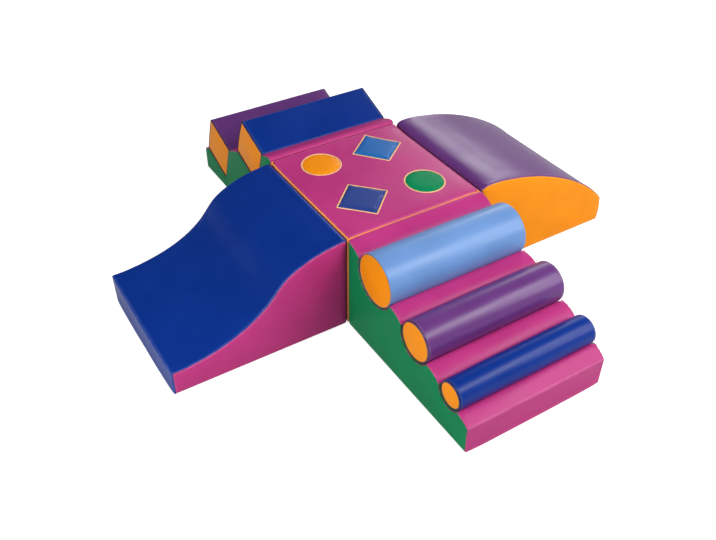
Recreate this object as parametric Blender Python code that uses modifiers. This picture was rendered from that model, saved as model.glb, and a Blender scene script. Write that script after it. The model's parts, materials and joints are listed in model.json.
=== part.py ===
# Soft play foam climber: a square centre block with four arms standing against its sides.
# The arms are a slide, a rounded hump, a flight of roller steps and a base that holds two square prisms.
# Metres, Z up, with the origin on the floor under the middle of the centre block.

import math

import bmesh
import bpy
from mathutils import Vector

# Plan and heights of the modules
MODULE_WIDTH = 0.60
BLOCK_HEIGHT = 0.40
CROWN = 0.010
CROWN_STATION_SHARES = (-1, -0.84, -0.48, 0, 0.48, 0.84, 1)

# Covers and the clearance between any two pieces
SKIN = 0.0015
BASE_SKIN = 0.002
GAP = 0.0003

# Hook and loop strips that hold each arm to the centre block
STRIP_THICKNESS = 0.0012
STRIP_LENGTH = 0.40
STRIP_HEIGHT = 0.05
STRIP_FROM_TOP = 0.07

# Zip in the underside of each cover
ZIP_WIDTH = 0.030
ZIP_LENGTH = 0.46
ZIP_TAPE = 0.0008
ZIP_TEETH_WIDTH = 0.008
ZIP_FROM_BACK = 0.06
CUT_OVERRUN = 0.002
WELD_DISTANCE = 0.00001

# Piping round the top and down the corners of the centre block
PIPE_RADIUS = 0.003
PIPE_BEND = 0.006
PIPE_SIDES = 8

# Padded shapes sewn on top of the centre block
DISC_DIAMETER = 0.165
SQUARE_SIDE = 0.160
PAD_EDGE = 0.003
PAD_SWELL = 0.006
ORANGE_DISC_SHARES = (-0.228, 0.289)
GREEN_DISC_SHARES = (0.247, -0.237)
LIGHT_SQUARE_SHARES = (0.207, 0.274)
DARK_SQUARE_SHARES = (-0.210, -0.200)
LIGHT_SQUARE_TURN = math.radians(39)
DARK_SQUARE_TURN = math.radians(43)

# Slide
SLIDE_LENGTH = 0.712
SLIDE_LIP = 0.104
SLIDE_NOSE = 0.005
SLIDE_KNEE_SHARES = (0.386, 0.677)
SLIDE_KNEE_SLOPE = math.radians(54)
SLIDE_REACH_SHARES = (0.18, 0.07, 0.29, 0.135)
SLIDE_SWELL_TURN = math.radians(126)

# Hump
HUMP_LENGTH = 0.711
HUMP_BACK_RISE = 0.004
HUMP_SHOULDER = 0.012
HUMP_SHOULDER_SLOPE = math.radians(60)
HUMP_SWELL_SHARE = 0.4
HUMP_LIP = 0.105
HUMP_NOSE = 0.030
HUMP_END_SLOPE = math.radians(49)
HUMP_REACH_SHARES = (0.215, 0.365)
HUMP_CREST_SHARE = 0.13

# Roller steps, with the rollers in order down the slope
STEPS_LIP = 0.116
STEPS_NOSE = 0.012
STEP_LANDS = (0.084, 0.089, 0.086, 0.055)
LAND_CROWN = 0.007
ROLLER_NAMES = ("large_roller", "medium_roller", "small_roller")
ROLLER_DIAMETERS = (0.205, 0.158, 0.110)
ROLLER_RISES = (0.002, 0.012, 0.020)
ROLLER_DOME = 0.006

# Prism base, with the prisms in order down the slope
PRISM_BASE_LIP = 0.1085
PRISM_BASE_NOSE = 0.010
PRISM_BASE_LAND = 0.078
PRISM_SIDE = 0.194
PRISM_CORNER = 0.006
PRISM_SWELL = 0.006
PRISM_RIDGE = 0.112
PRISM_RIDGE_CROWN = 0.003
PRISM_END_LAND = 0.040
PRISM_NAMES = ("blue_prism", "purple_prism")

# Fineness of the facets
CURVE_STEPS = 8
NOSE_STEPS = 3
LIP_STEPS = 2
LAND_STEPS = 4
CRADLE_STEPS = 12
ROLLER_STEPS = 36
DISC_STEPS = 32
BLOCK_CUTS = 10
PAD_CUTS = 4
FACE_CUTS = 3
BEND_STEPS = 4
SPLIT_LEAN = Vector((3, -1))

# Places that follow from the sizes
INNER = SKIN + GAP
FLOOR = BASE_SKIN + GAP
JOINT_GAP = 2 * STRIP_THICKNESS + 3 * GAP
ARM_PLACE = MODULE_WIDTH / 2 + JOINT_GAP
PIPE_INSET = PIPE_RADIUS + PIPE_BEND * (1 - math.sqrt(0.5))
PANEL_INSET = PIPE_INSET + PIPE_RADIUS + GAP
CORNER_CUT = 2 * PIPE_INSET + math.sqrt(2) * (PIPE_RADIUS + GAP)

COLOURS = {
    "foam": "#E9E2C8",
    "magenta": "#B8387A",
    "blue": "#00308A",
    "light_blue": "#7AA0DC",
    "pad_blue": "#2F74BC",
    "orange": "#FF9A14",
    "purple": "#6E4088",
    "green": "#1F8055",
    "underside": "#3A3A40",
    "hook_loop": "#202024",
    "zip": "#2A2A2E",
}
ROUGHNESS = {"foam": 0.95, "underside": 0.8, "hook_loop": 0.9}
VINYL_ROUGHNESS = 0.38


def clear_scene():
    for old in list(bpy.data.objects):
        bpy.data.objects.remove(old, do_unlink=True)


def new_collection(name):
    made = bpy.data.collections.new(name)
    bpy.context.scene.collection.children.link(made)
    return made


def linear(hex_colour):
    shares = [int(hex_colour[place : place + 2], 16) / 255 for place in (1, 3, 5)]
    return [s / 12.92 if s <= 0.04045 else ((s + 0.055) / 1.055) ** 2.4 for s in shares]


def material_for(node, colour):
    made = bpy.data.materials.new(node)
    made.use_nodes = True
    shader = made.node_tree.nodes["Principled BSDF"]
    shader.inputs["Base Color"].default_value = (*linear(COLOURS[colour]), 1)
    shader.inputs["Roughness"].default_value = ROUGHNESS.get(colour, VINYL_ROUGHNESS)
    shader.inputs["Metallic"].default_value = 0
    return made


def add_object(node, data, colour, parent=None):
    made = bpy.data.objects.new(node, data)
    data.materials.append(material_for(node, colour))
    parts.objects.link(made)
    made.parent = parent
    return made


def mesh_from(node, bm):
    bmesh.ops.recalc_face_normals(bm, faces=bm.faces)
    data = bpy.data.meshes.new(node)
    bm.to_mesh(data)
    bm.free()
    return data


def smooth(made, limit=math.radians(35)):
    made.data.shade_smooth()
    made.data.set_sharp_from_angle(angle=limit)


def evaluated_mesh(made):
    bpy.context.view_layer.update()
    graph = bpy.context.evaluated_depsgraph_get()
    return bpy.data.meshes.new_from_object(made.evaluated_get(graph))


def add_empty(name, place, turn, parent=None):
    made = bpy.data.objects.new(name, None)
    made.location = place
    made.rotation_euler = turn
    made.empty_display_size = PIPE_RADIUS
    parts.objects.link(made)
    made.parent = parent
    return made


# Outlines are lists of points in the X Z plane of an arm: X runs away from the centre block


def bezier(start, start_handle, end_handle, end, steps):
    points = []
    for step in range(steps):
        t = step / steps
        s = 1 - t
        point = start * s**3 + start_handle * 3 * s * s * t + end_handle * 3 * s * t * t
        points.append(point + end * t**3)
    return points


def crowned_land(start, end, rise, steps):
    side = Vector((start.y - end.y, end.x - start.x)).normalized()
    shares = [step / steps for step in range(steps)]
    return [start.lerp(end, t) + side * rise * 4 * t * (1 - t) for t in shares]


def nose(start, heading, radius, steps):
    """A bend that starts at the heading below the level and ends pointing straight down."""
    centre = start - Vector((math.sin(heading), math.cos(heading))) * radius
    turns = [heading + (math.pi / 2 - heading) * step / steps for step in range(steps + 1)]
    return [centre + Vector((math.sin(turn), math.cos(turn))) * radius for turn in turns]


def down_to_floor(top):
    return [top.lerp(Vector((top.x, FLOOR)), step / LIP_STEPS) for step in range(1, LIP_STEPS + 1)]


def side_normals(line):
    steps = [(second - first).normalized() for first, second in zip(line, line[1:])]
    return [Vector((-step.y, step.x)) for step in steps]


def inset_line(line, depth, start, floor):
    """The line moved in by depth, from the upright at start down to the level of the floor."""
    sides = side_normals(line)
    first = line[0] - sides[0] * depth
    slope = -sides[0].x / sides[0].y
    moved = [Vector((start, first.y + (start - first.x) * slope))]
    for point, before, after in zip(line[1:-1], sides, sides[1:]):
        moved.append(point - (before + after) * depth / (1 + before.dot(after)))
    moved.append(Vector((line[-1].x - depth, floor)))
    return moved


def inset_loop(loop, depth):
    """A closed loop that runs clockwise, moved in by depth."""
    sides = side_normals(loop + loop[:1])
    befores = [sides[-1], *sides[:-1]]
    return [
        point - (before + after) * depth / (1 + before.dot(after))
        for point, before, after in zip(loop, befores, sides)
    ]


def pushes_for(line, swells):
    sides = side_normals(line)
    normals = [sides[0], *[(a + b).normalized() for a, b in zip(sides, sides[1:])], sides[-1]]
    return [normal * swell for normal, swell in zip(normals, swells)]


def swell_over(count, turn=math.pi):
    return [math.sin(turn * step / count) for step in range(count + 1)]


def crown_at(station):
    return CROWN * (1 - (2 * station / MODULE_WIDTH) ** 2)


def stations_within(half_width):
    inner = [share * MODULE_WIDTH / 2 for share in CROWN_STATION_SHARES[1:-1]]
    return [-half_width, *inner, half_width]


def swept(bm, outline, stations, pushes=None):
    """Extrudes the outline along Y, station by station, and swells it by the crown."""
    corner = bm.verts.layers.int.verify()
    pushes = pushes or [Vector((0, 0))] * len(outline)

    def place(index, station):
        point = outline[index] + pushes[index] * crown_at(station)
        return (point.x, station, point.y)

    verts = [bm.verts.new(place(index, stations[0])) for index in range(len(outline))]
    for index, vert in enumerate(verts):
        vert[corner] = index
    face = bm.faces.new(verts)
    for station in stations[1:]:
        region = [face, *face.edges]
        made = bmesh.ops.extrude_face_region(bm, geom=region)["geom"]
        face = next(item for item in made if isinstance(item, bmesh.types.BMFace))
        for vert in face.verts:
            vert.co = place(vert[corner], station)
    if any(push.length for push in pushes):
        split_quads(bm, lambda vert: outline[vert[corner]].dot(SPLIT_LEAN))


def split_quads(bm, lean):
    """Splits every quad the same way, so that two surfaces a gap apart stay a gap apart."""
    for face in [face for face in bm.faces if len(face.verts) == 4]:
        by_station = sorted(face.verts, key=lambda vert: vert.co.y)
        first = min(by_station[:2], key=lean)
        last = max(by_station[2:], key=lean)
        bmesh.utils.face_split(face, first, last)


def add_swept(node, outline, stations, colour, parent, pushes=None):
    bm = bmesh.new()
    swept(bm, outline, stations, pushes)
    made = add_object(node, mesh_from(node, bm), colour, parent)
    smooth(made)
    return made


def box_mesh(node, low, high):
    bm = bmesh.new()
    bmesh.ops.create_cube(bm, size=1)
    bmesh.ops.scale(bm, vec=[h - l for l, h in zip(low, high)], verts=bm.verts)
    bmesh.ops.translate(bm, vec=[(h + l) / 2 for l, h in zip(low, high)], verts=bm.verts)
    return mesh_from(node, bm)


def add_box(node, low, high, colour, parent=None):
    return add_object(node, box_mesh(node, low, high), colour, parent)


def add_cutter(name, data, parent=None):
    made = bpy.data.objects.new(name, data)
    cutters.objects.link(made)
    made.parent = parent
    made.hide_render = True
    made.display_type = "WIRE"
    return made


def add_boolean(made, operation, other):
    modifier = made.modifiers.new(other.name, "BOOLEAN")
    modifier.operation = operation
    modifier.object = other


# Pieces that every cover has


def add_underside(name, low_x, high_x, zip_x, parent=None):
    """The underside panel with a slot across it, and the zip that fills the slot."""
    half = MODULE_WIDTH / 2
    panel = add_box(
        f"{name}_underside", (low_x, -half, 0), (high_x, half, BASE_SKIN), "underside", parent
    )
    low = (zip_x - ZIP_WIDTH / 2, -ZIP_LENGTH / 2, -CUT_OVERRUN)
    high = (zip_x + ZIP_WIDTH / 2, ZIP_LENGTH / 2, BASE_SKIN + CUT_OVERRUN)
    slot = f"{name}_zip_slot"
    add_boolean(panel, "DIFFERENCE", add_cutter(slot, box_mesh(slot, low, high), parent))

    tape = ZIP_WIDTH / 2 - GAP
    teeth = ZIP_TEETH_WIDTH / 2
    under = BASE_SKIN - ZIP_TAPE
    shape = [(-tape, BASE_SKIN), (tape, BASE_SKIN), (tape, under), (teeth, under)]
    shape += [(teeth, GAP), (-teeth, GAP), (-teeth, under), (-tape, under)]
    outline = [Vector((zip_x + x, z)) for x, z in shape]
    end = ZIP_LENGTH / 2 - GAP
    add_swept(f"{name}_zip", outline, [-end, end], "zip", parent)


def add_strip(node, face_x, parent=None):
    """A level strip across the joint, whose inner face stands at face_x."""
    top = BLOCK_HEIGHT - STRIP_FROM_TOP
    low = (face_x, -STRIP_LENGTH / 2, top - STRIP_HEIGHT)
    high = (face_x + STRIP_THICKNESS, STRIP_LENGTH / 2, top)
    return add_box(node, low, high, "hook_loop", parent)


def add_side_cover(name, line, colour, parent):
    """One sheet that covers both sides and the back, tucked under the top cover."""
    half = MODULE_WIDTH / 2
    outline = [Vector((0, FLOOR)), *inset_line(line, INNER, 0, FLOOR)]
    bm = bmesh.new()
    left, right = [
        [bm.verts.new((point.x, side, point.y)) for point in outline] for side in (half, -half)
    ]
    bm.faces.new(left)
    bm.faces.new(reversed(right))
    bm.faces.new((left[1], left[0], right[0], right[1]))
    made = add_object(f"{name}_side_cover", mesh_from(name, bm), colour, parent)
    add_wall(made)


def add_wall(made):
    wall = made.modifiers.new("vinyl", "SOLIDIFY")
    wall.thickness = SKIN
    wall.offset = -1
    wall.solidify_mode = "NON_MANIFOLD"
    wall.nonmanifold_thickness_mode = "CONSTRAINTS"


def add_arm(name, line, swells, top_colour, side_colour, place):
    """Core, cover and fastenings of an arm whose top runs along the line to the floor."""
    pushes = pushes_for(line, swells)
    half = MODULE_WIDTH / 2
    still = [Vector((0, 0))]

    outline = [Vector((INNER, FLOOR)), *inset_line(line, INNER, INNER, FLOOR)]
    stations = stations_within(half - INNER)
    add_swept(f"{name}_core", outline, stations, "foam", place, still + pushes)

    under = inset_line(line, SKIN, 0, FLOOR)
    outline = [*line, *reversed(under)]
    pushed = [*pushes, *reversed(pushes)]
    add_swept(f"{name}_top_cover", outline, stations_within(half), top_colour, place, pushed)

    add_side_cover(name, line, side_colour, place)
    add_underside(name, 0, line[-1].x, ZIP_FROM_BACK, place)
    add_strip(f"{name}_loop_strip", -GAP - STRIP_THICKNESS, place)
    strip = add_strip(f"{name}_hook_strip", MODULE_WIDTH / 2 + GAP)
    strip.rotation_euler = place.rotation_euler


# Centre block


def lift(x, y):
    across = (1 - (2 * x / MODULE_WIDTH) ** 2) * (1 - (2 * y / MODULE_WIDTH) ** 2)
    return CROWN * across


def lift_mesh(data, above=None):
    """Raises what lies above a level by the crown of the block's top."""
    for vert in data.vertices:
        if above is None or vert.co.z > above:
            vert.co.z += lift(vert.co.x, vert.co.y)


def slab(node, half, bottom, top, cuts):
    """A square slab whose top and bottom share one grid."""
    bm = bmesh.new()
    bmesh.ops.create_grid(bm, x_segments=cuts, y_segments=cuts, size=half)
    bmesh.ops.translate(bm, vec=(0, 0, bottom), verts=bm.verts)
    made = bmesh.ops.extrude_face_region(bm, geom=list(bm.faces))["geom"]
    raised = [item for item in made if isinstance(item, bmesh.types.BMVert)]
    bmesh.ops.translate(bm, vec=(0, 0, top - bottom), verts=raised)
    return mesh_from(node, bm)


def rounded_square(half, bend, bend_steps):
    """The points of a square loop with round corners, anticlockwise."""
    points = []
    run = half - bend
    for quarter in range(4):
        turn = quarter * math.pi / 2
        out = Vector((math.cos(turn), math.sin(turn)))
        centre = (out + Vector((-out.y, out.x))) * run
        for step in range(bend_steps + 1):
            angle = turn + math.pi / 2 * step / bend_steps
            points.append(centre + Vector((math.cos(angle), math.sin(angle))) * bend)
    return points


def loop_tube(node, points, radius, level):
    """A closed tube along a level loop, as a mesh."""
    curve = bpy.data.curves.new(node, "CURVE")
    curve.dimensions = "3D"
    curve.bevel_depth = radius
    curve.bevel_resolution = PIPE_SIDES // 4
    spline = curve.splines.new("POLY")
    spline.points.add(len(points) - 1)
    for slot, point in zip(spline.points, points):
        slot.co = (point.x, point.y, level, 1)
    spline.use_cyclic_u = True
    guide = bpy.data.objects.new(node, curve)
    parts.objects.link(guide)
    data = evaluated_mesh(guide)
    bpy.data.objects.remove(guide, do_unlink=True)
    return data


def add_centre_shell():
    half = MODULE_WIDTH / 2
    core = slab("centre_core", half - INNER, FLOOR, BLOCK_HEIGHT - INNER, BLOCK_CUTS)
    lift_mesh(core, above=FLOOR)
    made = add_object("centre_core", core, "foam")
    cut = made.modifiers.new("room for piping", "BEVEL")
    cut.limit_method = "ANGLE"
    cut.segments = 1
    cut.width = CORNER_CUT - (2 - math.sqrt(2)) * INNER

    panel = slab("centre_top_panel", half - PANEL_INSET, BLOCK_HEIGHT - SKIN, BLOCK_HEIGHT, BLOCK_CUTS)
    lift_mesh(panel)
    smooth(add_object("centre_top_panel", panel, "magenta"))

    run = half - CORNER_CUT
    bm = bmesh.new()
    corners = [(half, -run), (half, run), (run, half), (-run, half)]
    corners += [(-x, -y) for x, y in corners]
    bm.faces.new([bm.verts.new((x, y, FLOOR)) for x, y in corners])
    bmesh.ops.extrude_edge_only(bm, edges=list(bm.edges))
    wall_top = BLOCK_HEIGHT - 2 * PIPE_RADIUS - GAP
    fresh = [vert for vert in bm.verts if len(vert.link_faces) < 3]
    bmesh.ops.translate(bm, vec=(0, 0, wall_top - FLOOR), verts=fresh)
    floor_faces = [face for face in bm.faces if len(face.verts) == len(corners)]
    bmesh.ops.delete(bm, geom=floor_faces, context="FACES_ONLY")
    add_wall(add_object("centre_side_cover", mesh_from("centre_side_cover", bm), "magenta"))
    add_underside("centre", -half, half, half - ZIP_FROM_BACK)


def add_centre_piping():
    """A loop round the top edges, with a post down each corner."""
    half = MODULE_WIDTH / 2
    loop = rounded_square(half - PIPE_RADIUS, PIPE_BEND, BEND_STEPS)
    level = BLOCK_HEIGHT - PIPE_RADIUS
    tube = loop_tube("centre_piping", loop, PIPE_RADIUS, level)
    made = add_object("centre_piping", tube, "orange")
    bm = bmesh.new()
    corner = half - PIPE_INSET
    for x in (-corner, corner):
        for y in (-corner, corner):
            post = bmesh.ops.create_cone(
                bm,
                cap_ends=True,
                segments=PIPE_SIDES,
                radius1=PIPE_RADIUS,
                radius2=PIPE_RADIUS,
                depth=level - FLOOR,
            )
            bmesh.ops.translate(bm, vec=(x, y, (level + FLOOR) / 2), verts=post["verts"])
    add_boolean(made, "UNION", add_cutter("corner_posts", mesh_from("corner_posts", bm)))
    smooth(made)


def turned(node, profile, steps, colour, closed=False):
    """A profile of radius and height, turned round Z by a Screw modifier."""
    bm = bmesh.new()
    verts = [bm.verts.new((radius, 0, height)) for radius, height in profile]
    following = verts[1:] + verts[:1] if closed else verts[1:]
    for pair in zip(verts, following):
        bm.edges.new(pair)
    data = bpy.data.meshes.new(node)
    bm.to_mesh(data)
    bm.free()
    made = add_object(node, data, colour)
    screw = made.modifiers.new("turn", "SCREW")
    screw.steps = steps
    screw.render_steps = steps
    screw.use_merge_vertices = True
    screw.merge_threshold = WELD_DISTANCE
    return made


def place_on_top(data, place, turn=0):
    """Turns a padded shape, moves it to its place and lays it on the crowned top."""
    cosine, sine = math.cos(turn), math.sin(turn)
    for vert in data.vertices:
        x, y = vert.co.x, vert.co.y
        vert.co.x = x * cosine - y * sine + place.x
        vert.co.y = x * sine + y * cosine + place.y
    lift_mesh(data)


def dome(share):
    return PAD_EDGE + PAD_SWELL * (1 - share * share)


def add_disc_pad(node, colour, place):
    radius = DISC_DIAMETER / 2
    level = BLOCK_HEIGHT + GAP
    shares = [step / FACE_CUTS for step in range(FACE_CUTS + 1)]
    profile = [(radius * share, level + dome(share)) for share in shares]
    profile += [(radius * share, level) for share in reversed(shares)]
    made = turned(node, profile, DISC_STEPS, colour)
    made.data = evaluated_mesh(made)
    made.modifiers.clear()
    place_on_top(made.data, place)
    smooth(made)


def add_square_pad(node, colour, place, turn):
    half = SQUARE_SIDE / 2
    level = BLOCK_HEIGHT + GAP
    data = slab(node, half, level, level + PAD_EDGE, PAD_CUTS)
    for vert in data.vertices:
        if vert.co.z > level + PAD_EDGE / 2:
            inside = (1 - (vert.co.x / half) ** 2) * (1 - (vert.co.y / half) ** 2)
            vert.co.z += PAD_SWELL * inside
    place_on_top(data, place, turn)
    smooth(add_object(node, data, colour))


def place_of(shares):
    return Vector(shares) * MODULE_WIDTH


def add_centre_pads():
    add_disc_pad("orange_disc_pad", "orange", place_of(ORANGE_DISC_SHARES))
    add_disc_pad("green_disc_pad", "green", place_of(GREEN_DISC_SHARES))
    light, dark = place_of(LIGHT_SQUARE_SHARES), place_of(DARK_SQUARE_SHARES)
    add_square_pad("light_blue_square_pad", "pad_blue", light, LIGHT_SQUARE_TURN)
    add_square_pad("dark_blue_square_pad", "blue", dark, DARK_SQUARE_TURN)


# Slide


def add_slide(place):
    """A level start that falls steeply at the knee and runs out to the lip."""
    fall = BLOCK_HEIGHT - SLIDE_LIP
    flat, steep_in, steep_out, run_out = [share * SLIDE_LENGTH for share in SLIDE_REACH_SHARES]
    start = Vector((0, BLOCK_HEIGHT))
    knee = Vector((SLIDE_KNEE_SHARES[0] * SLIDE_LENGTH, SLIDE_LIP + SLIDE_KNEE_SHARES[1] * fall))
    heading = Vector((math.cos(SLIDE_KNEE_SLOPE), -math.sin(SLIDE_KNEE_SLOPE)))
    end = Vector((SLIDE_LENGTH - SLIDE_NOSE, SLIDE_LIP))
    level = Vector((1, 0))
    upper = bezier(start, start + level * flat, knee - heading * steep_in, knee, CURVE_STEPS)
    lower = bezier(knee, knee + heading * steep_out, end - level * run_out, end, CURVE_STEPS)
    run = upper + lower
    bend = nose(end, 0, SLIDE_NOSE, NOSE_STEPS)
    line = run + bend + down_to_floor(bend[-1])
    swells = swell_over(len(run), SLIDE_SWELL_TURN)
    swells += swells[-1:] * (len(line) - len(swells))
    add_arm("slide", line, swells, "blue", "magenta", place)


# Hump


def add_hump(place):
    """A round shoulder by the centre block, then a crest that bends down ever more steeply."""
    reach_in, reach_out = [share * HUMP_LENGTH for share in HUMP_REACH_SHARES]
    rise = HUMP_CREST_SHARE * (BLOCK_HEIGHT - HUMP_LIP)
    start_slope = math.atan2(rise, reach_in)
    turn = HUMP_SHOULDER_SLOPE - start_slope
    shoulder_run = HUMP_SHOULDER * (math.sin(HUMP_SHOULDER_SLOPE) - math.sin(start_slope))
    start = Vector((shoulder_run, BLOCK_HEIGHT + HUMP_BACK_RISE))
    centre = start - Vector((-math.sin(start_slope), math.cos(start_slope))) * HUMP_SHOULDER
    slopes = [HUMP_SHOULDER_SLOPE - turn * step / NOSE_STEPS for step in range(NOSE_STEPS)]
    shoulder = [centre + Vector((-math.sin(a), math.cos(a))) * HUMP_SHOULDER for a in slopes]

    heading = Vector((math.cos(HUMP_END_SLOPE), -math.sin(HUMP_END_SLOPE)))
    drop = HUMP_NOSE * math.cos(HUMP_END_SLOPE)
    back = HUMP_NOSE * (1 - math.sin(HUMP_END_SLOPE))
    end = Vector((HUMP_LENGTH - back, HUMP_LIP + drop))
    handle = start + Vector((reach_in, rise))
    run = bezier(start, handle, end - heading * reach_out, end, 2 * CURVE_STEPS)
    bend = nose(end, HUMP_END_SLOPE, HUMP_NOSE, NOSE_STEPS)
    line = shoulder + run + bend + down_to_floor(bend[-1])
    swells = [0] * len(shoulder) + [swell * HUMP_SWELL_SHARE for swell in swell_over(len(run))]
    swells += [0] * (len(line) - len(swells))
    add_arm("hump", line, swells, "purple", "orange", place)


# Slopes that carry rollers or prisms


class Slope:
    """A straight slope: places on it are given along it and square to it."""

    def __init__(self, start, angle):
        self.start = start
        self.angle = angle
        self.along = Vector((math.cos(angle), -math.sin(angle)))
        self.out = Vector((math.sin(angle), math.cos(angle)))

    def at(self, along, out=0):
        return self.start + self.along * along + self.out * out


# Roller steps


def cradle_radius(radius):
    """Radius of the cradle's corner points, whose flats then clear the roller all round."""
    return (radius + GAP) / math.cos(math.pi / (2 * CRADLE_STEPS))


def cradle_half(radius, rise):
    return math.sqrt(cradle_radius(radius) ** 2 - rise**2)


def cradle_points(slope, along, radius, rise):
    corner = cradle_radius(radius)
    tilt = math.asin(rise / corner)
    angles = [
        math.pi + tilt + (math.pi - 2 * tilt) * step / CRADLE_STEPS
        for step in range(CRADLE_STEPS + 1)
    ]
    return [
        slope.at(along + corner * math.cos(angle), rise + corner * math.sin(angle))
        for angle in angles
    ]


def add_roller(name, radius, slope, along, rise, colour, parent):
    point = slope.at(along, rise)
    place = add_empty(f"{name}_place", (point.x, 0, point.y), (0, slope.angle, 0), parent)
    half = MODULE_WIDTH / 2
    inside = radius - INNER
    shares = [1 - step / FACE_CUTS for step in range(FACE_CUTS + 1)]
    bulged = [(inside * share, ROLLER_DOME * (1 - share * share)) for share in shares]

    core_end = half - INNER
    core = [(x, core_end + z) for x, z in reversed(bulged)]
    core += [(x, -core_end - z) for x, z in bulged]
    add_turned_piece(f"{name}_core", core, "foam", place)
    sleeve = [(radius - SKIN, half), (radius, half), (radius, -half), (radius - SKIN, -half)]
    add_turned_piece(f"{name}_sleeve", sleeve, colour, place, closed=True)
    end = [(x, half + z) for x, z in reversed(bulged)] + [(x, half - SKIN + z) for x, z in bulged]
    add_turned_piece(f"{name}_left_end", end, "orange", place)
    add_turned_piece(f"{name}_right_end", end, "orange", place, turn=-math.pi / 2)


def add_turned_piece(node, profile, colour, parent, closed=False, turn=math.pi / 2):
    made = turned(node, profile, ROLLER_STEPS, colour, closed)
    made.rotation_euler = (turn, 0, 0)
    made.parent = parent


def add_steps(place):
    """Crowned lands with a round cradle between each two, and a roller in each cradle."""
    radii = [diameter / 2 for diameter in ROLLER_DIAMETERS]
    halves = [cradle_half(radius, rise) for radius, rise in zip(radii, ROLLER_RISES)]
    length = sum(STEP_LANDS) + 2 * sum(halves)
    angle = math.asin((BLOCK_HEIGHT - STEPS_LIP) / length)
    slope = Slope(Vector((0, BLOCK_HEIGHT)), angle)

    line, swells, middles = [], [], []
    reached = 0
    land_swells = [4 * t * (1 - t) for t in (step / LAND_STEPS for step in range(LAND_STEPS))]
    for radius, rise, half, land in zip(radii, ROLLER_RISES, halves, STEP_LANDS):
        line += crowned_land(slope.at(reached), slope.at(reached + land), LAND_CROWN, LAND_STEPS)
        swells += land_swells
        reached += land + half
        middles.append(reached)
        cradle = cradle_points(slope, reached, radius, rise)[:-1]
        line += cradle
        swells += [0] * len(cradle)
        reached += half
    line += crowned_land(slope.at(reached), slope.at(length), LAND_CROWN, LAND_STEPS)
    swells += land_swells
    bend = nose(slope.at(length), angle, STEPS_NOSE, NOSE_STEPS)
    line += bend + down_to_floor(bend[-1])
    swells += [0] * (len(line) - len(swells))
    add_arm("steps", line, swells, "magenta", "green", place)

    colours = ("light_blue", "purple", "blue")
    for name, radius, rise, middle, colour in zip(ROLLER_NAMES, radii, ROLLER_RISES, middles, colours):
        add_roller(name, radius, slope, middle, rise, colour, place)


# Prism base


def prism_loop():
    """A square on its corner, clockwise from its left corner, with its two upper faces swollen."""
    far = PRISM_SIDE / math.sqrt(2)
    inset = PRISM_CORNER * math.sqrt(2)
    corners = [Vector((-far, 0)), Vector((0, far)), Vector((far, 0)), Vector((0, -far))]
    points, swells = [], []
    for quarter, corner in enumerate(corners):
        middle = corner * (1 - inset / far)
        first = math.radians(225) - quarter * math.pi / 2
        for step in range(NOSE_STEPS + 1):
            angle = first - math.pi / 2 * step / NOSE_STEPS
            points.append(middle + Vector((math.cos(angle), math.sin(angle))) * PRISM_CORNER)
            swells.append(0)
        if quarter < 2:
            last = points[-1]
            ahead = corners[quarter + 1] - corner
            run = ahead.normalized() * (PRISM_SIDE - 2 * PRISM_CORNER)
            for step in range(1, FACE_CUTS + 1):
                t = step / (FACE_CUTS + 1)
                points.append(last + run * t)
                swells.append(4 * t * (1 - t))
    return points, swells


def add_prism(name, slope, along, colour, parent):
    point = slope.at(along)
    place = add_empty(f"{name}_place", (point.x, 0, point.y), (0, slope.angle, 0), parent)
    loop, swells = prism_loop()
    befores = [*loop[-1:], *loop[:-1]]
    afters = [*loop[1:], *loop[:1]]
    pushes = []
    for before, after, swell in zip(befores, afters, swells):
        run = (after - before).normalized()
        pushes.append(Vector((-run.y, run.x)) * swell * PRISM_SWELL / CROWN)
    half = MODULE_WIDTH / 2

    inner = inset_loop(loop, INNER)
    add_swept(f"{name}_core", inner, stations_within(half - INNER), "foam", place, pushes)

    bm = bmesh.new()
    swept(bm, loop, stations_within(half), pushes)
    ends = [face for face in bm.faces if len(face.verts) == len(loop)]
    bmesh.ops.delete(bm, geom=ends, context="FACES_ONLY")
    made = add_object(f"{name}_sleeve", mesh_from(name, bm), colour, place)
    add_wall(made)
    smooth(made)
    for side, inside, outside in (("left", SKIN - half, -half), ("right", half - SKIN, half)):
        add_swept(f"{name}_{side}_end", inner, [inside, outside], "orange", place)


def add_prism_base(place):
    """A level land, then a slope with a square notch for each prism."""
    depth = PRISM_SIDE / math.sqrt(2) + GAP * math.sqrt(2)
    length = 4 * depth + PRISM_RIDGE + PRISM_END_LAND
    angle = math.asin((BLOCK_HEIGHT - PRISM_BASE_LIP) / length)
    slope = Slope(Vector((PRISM_BASE_LAND, BLOCK_HEIGHT)), angle)

    line = [Vector((0, BLOCK_HEIGHT))]
    middles = []
    reached = 0
    for land, crown in ((PRISM_RIDGE, PRISM_RIDGE_CROWN), (PRISM_END_LAND, 0)):
        middle = reached + depth
        line += [slope.at(reached), slope.at(middle, -depth)]
        middles.append(middle)
        reached = middle + depth
        line += crowned_land(slope.at(reached), slope.at(reached + land), crown, LAND_STEPS)
        reached += land
    bend = nose(slope.at(reached), angle, PRISM_BASE_NOSE, NOSE_STEPS)
    line += bend + down_to_floor(bend[-1])
    add_arm("prism_base", line, [0] * len(line), "magenta", "green", place)

    for name, middle, colour in zip(PRISM_NAMES, middles, ("blue", "purple")):
        add_prism(name, slope, middle, colour, place)


clear_scene()
parts = new_collection("soft_play_climber")
cutters = new_collection("cutters")
cutters.hide_render = True

add_centre_shell()
add_centre_piping()
add_centre_pads()

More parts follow.
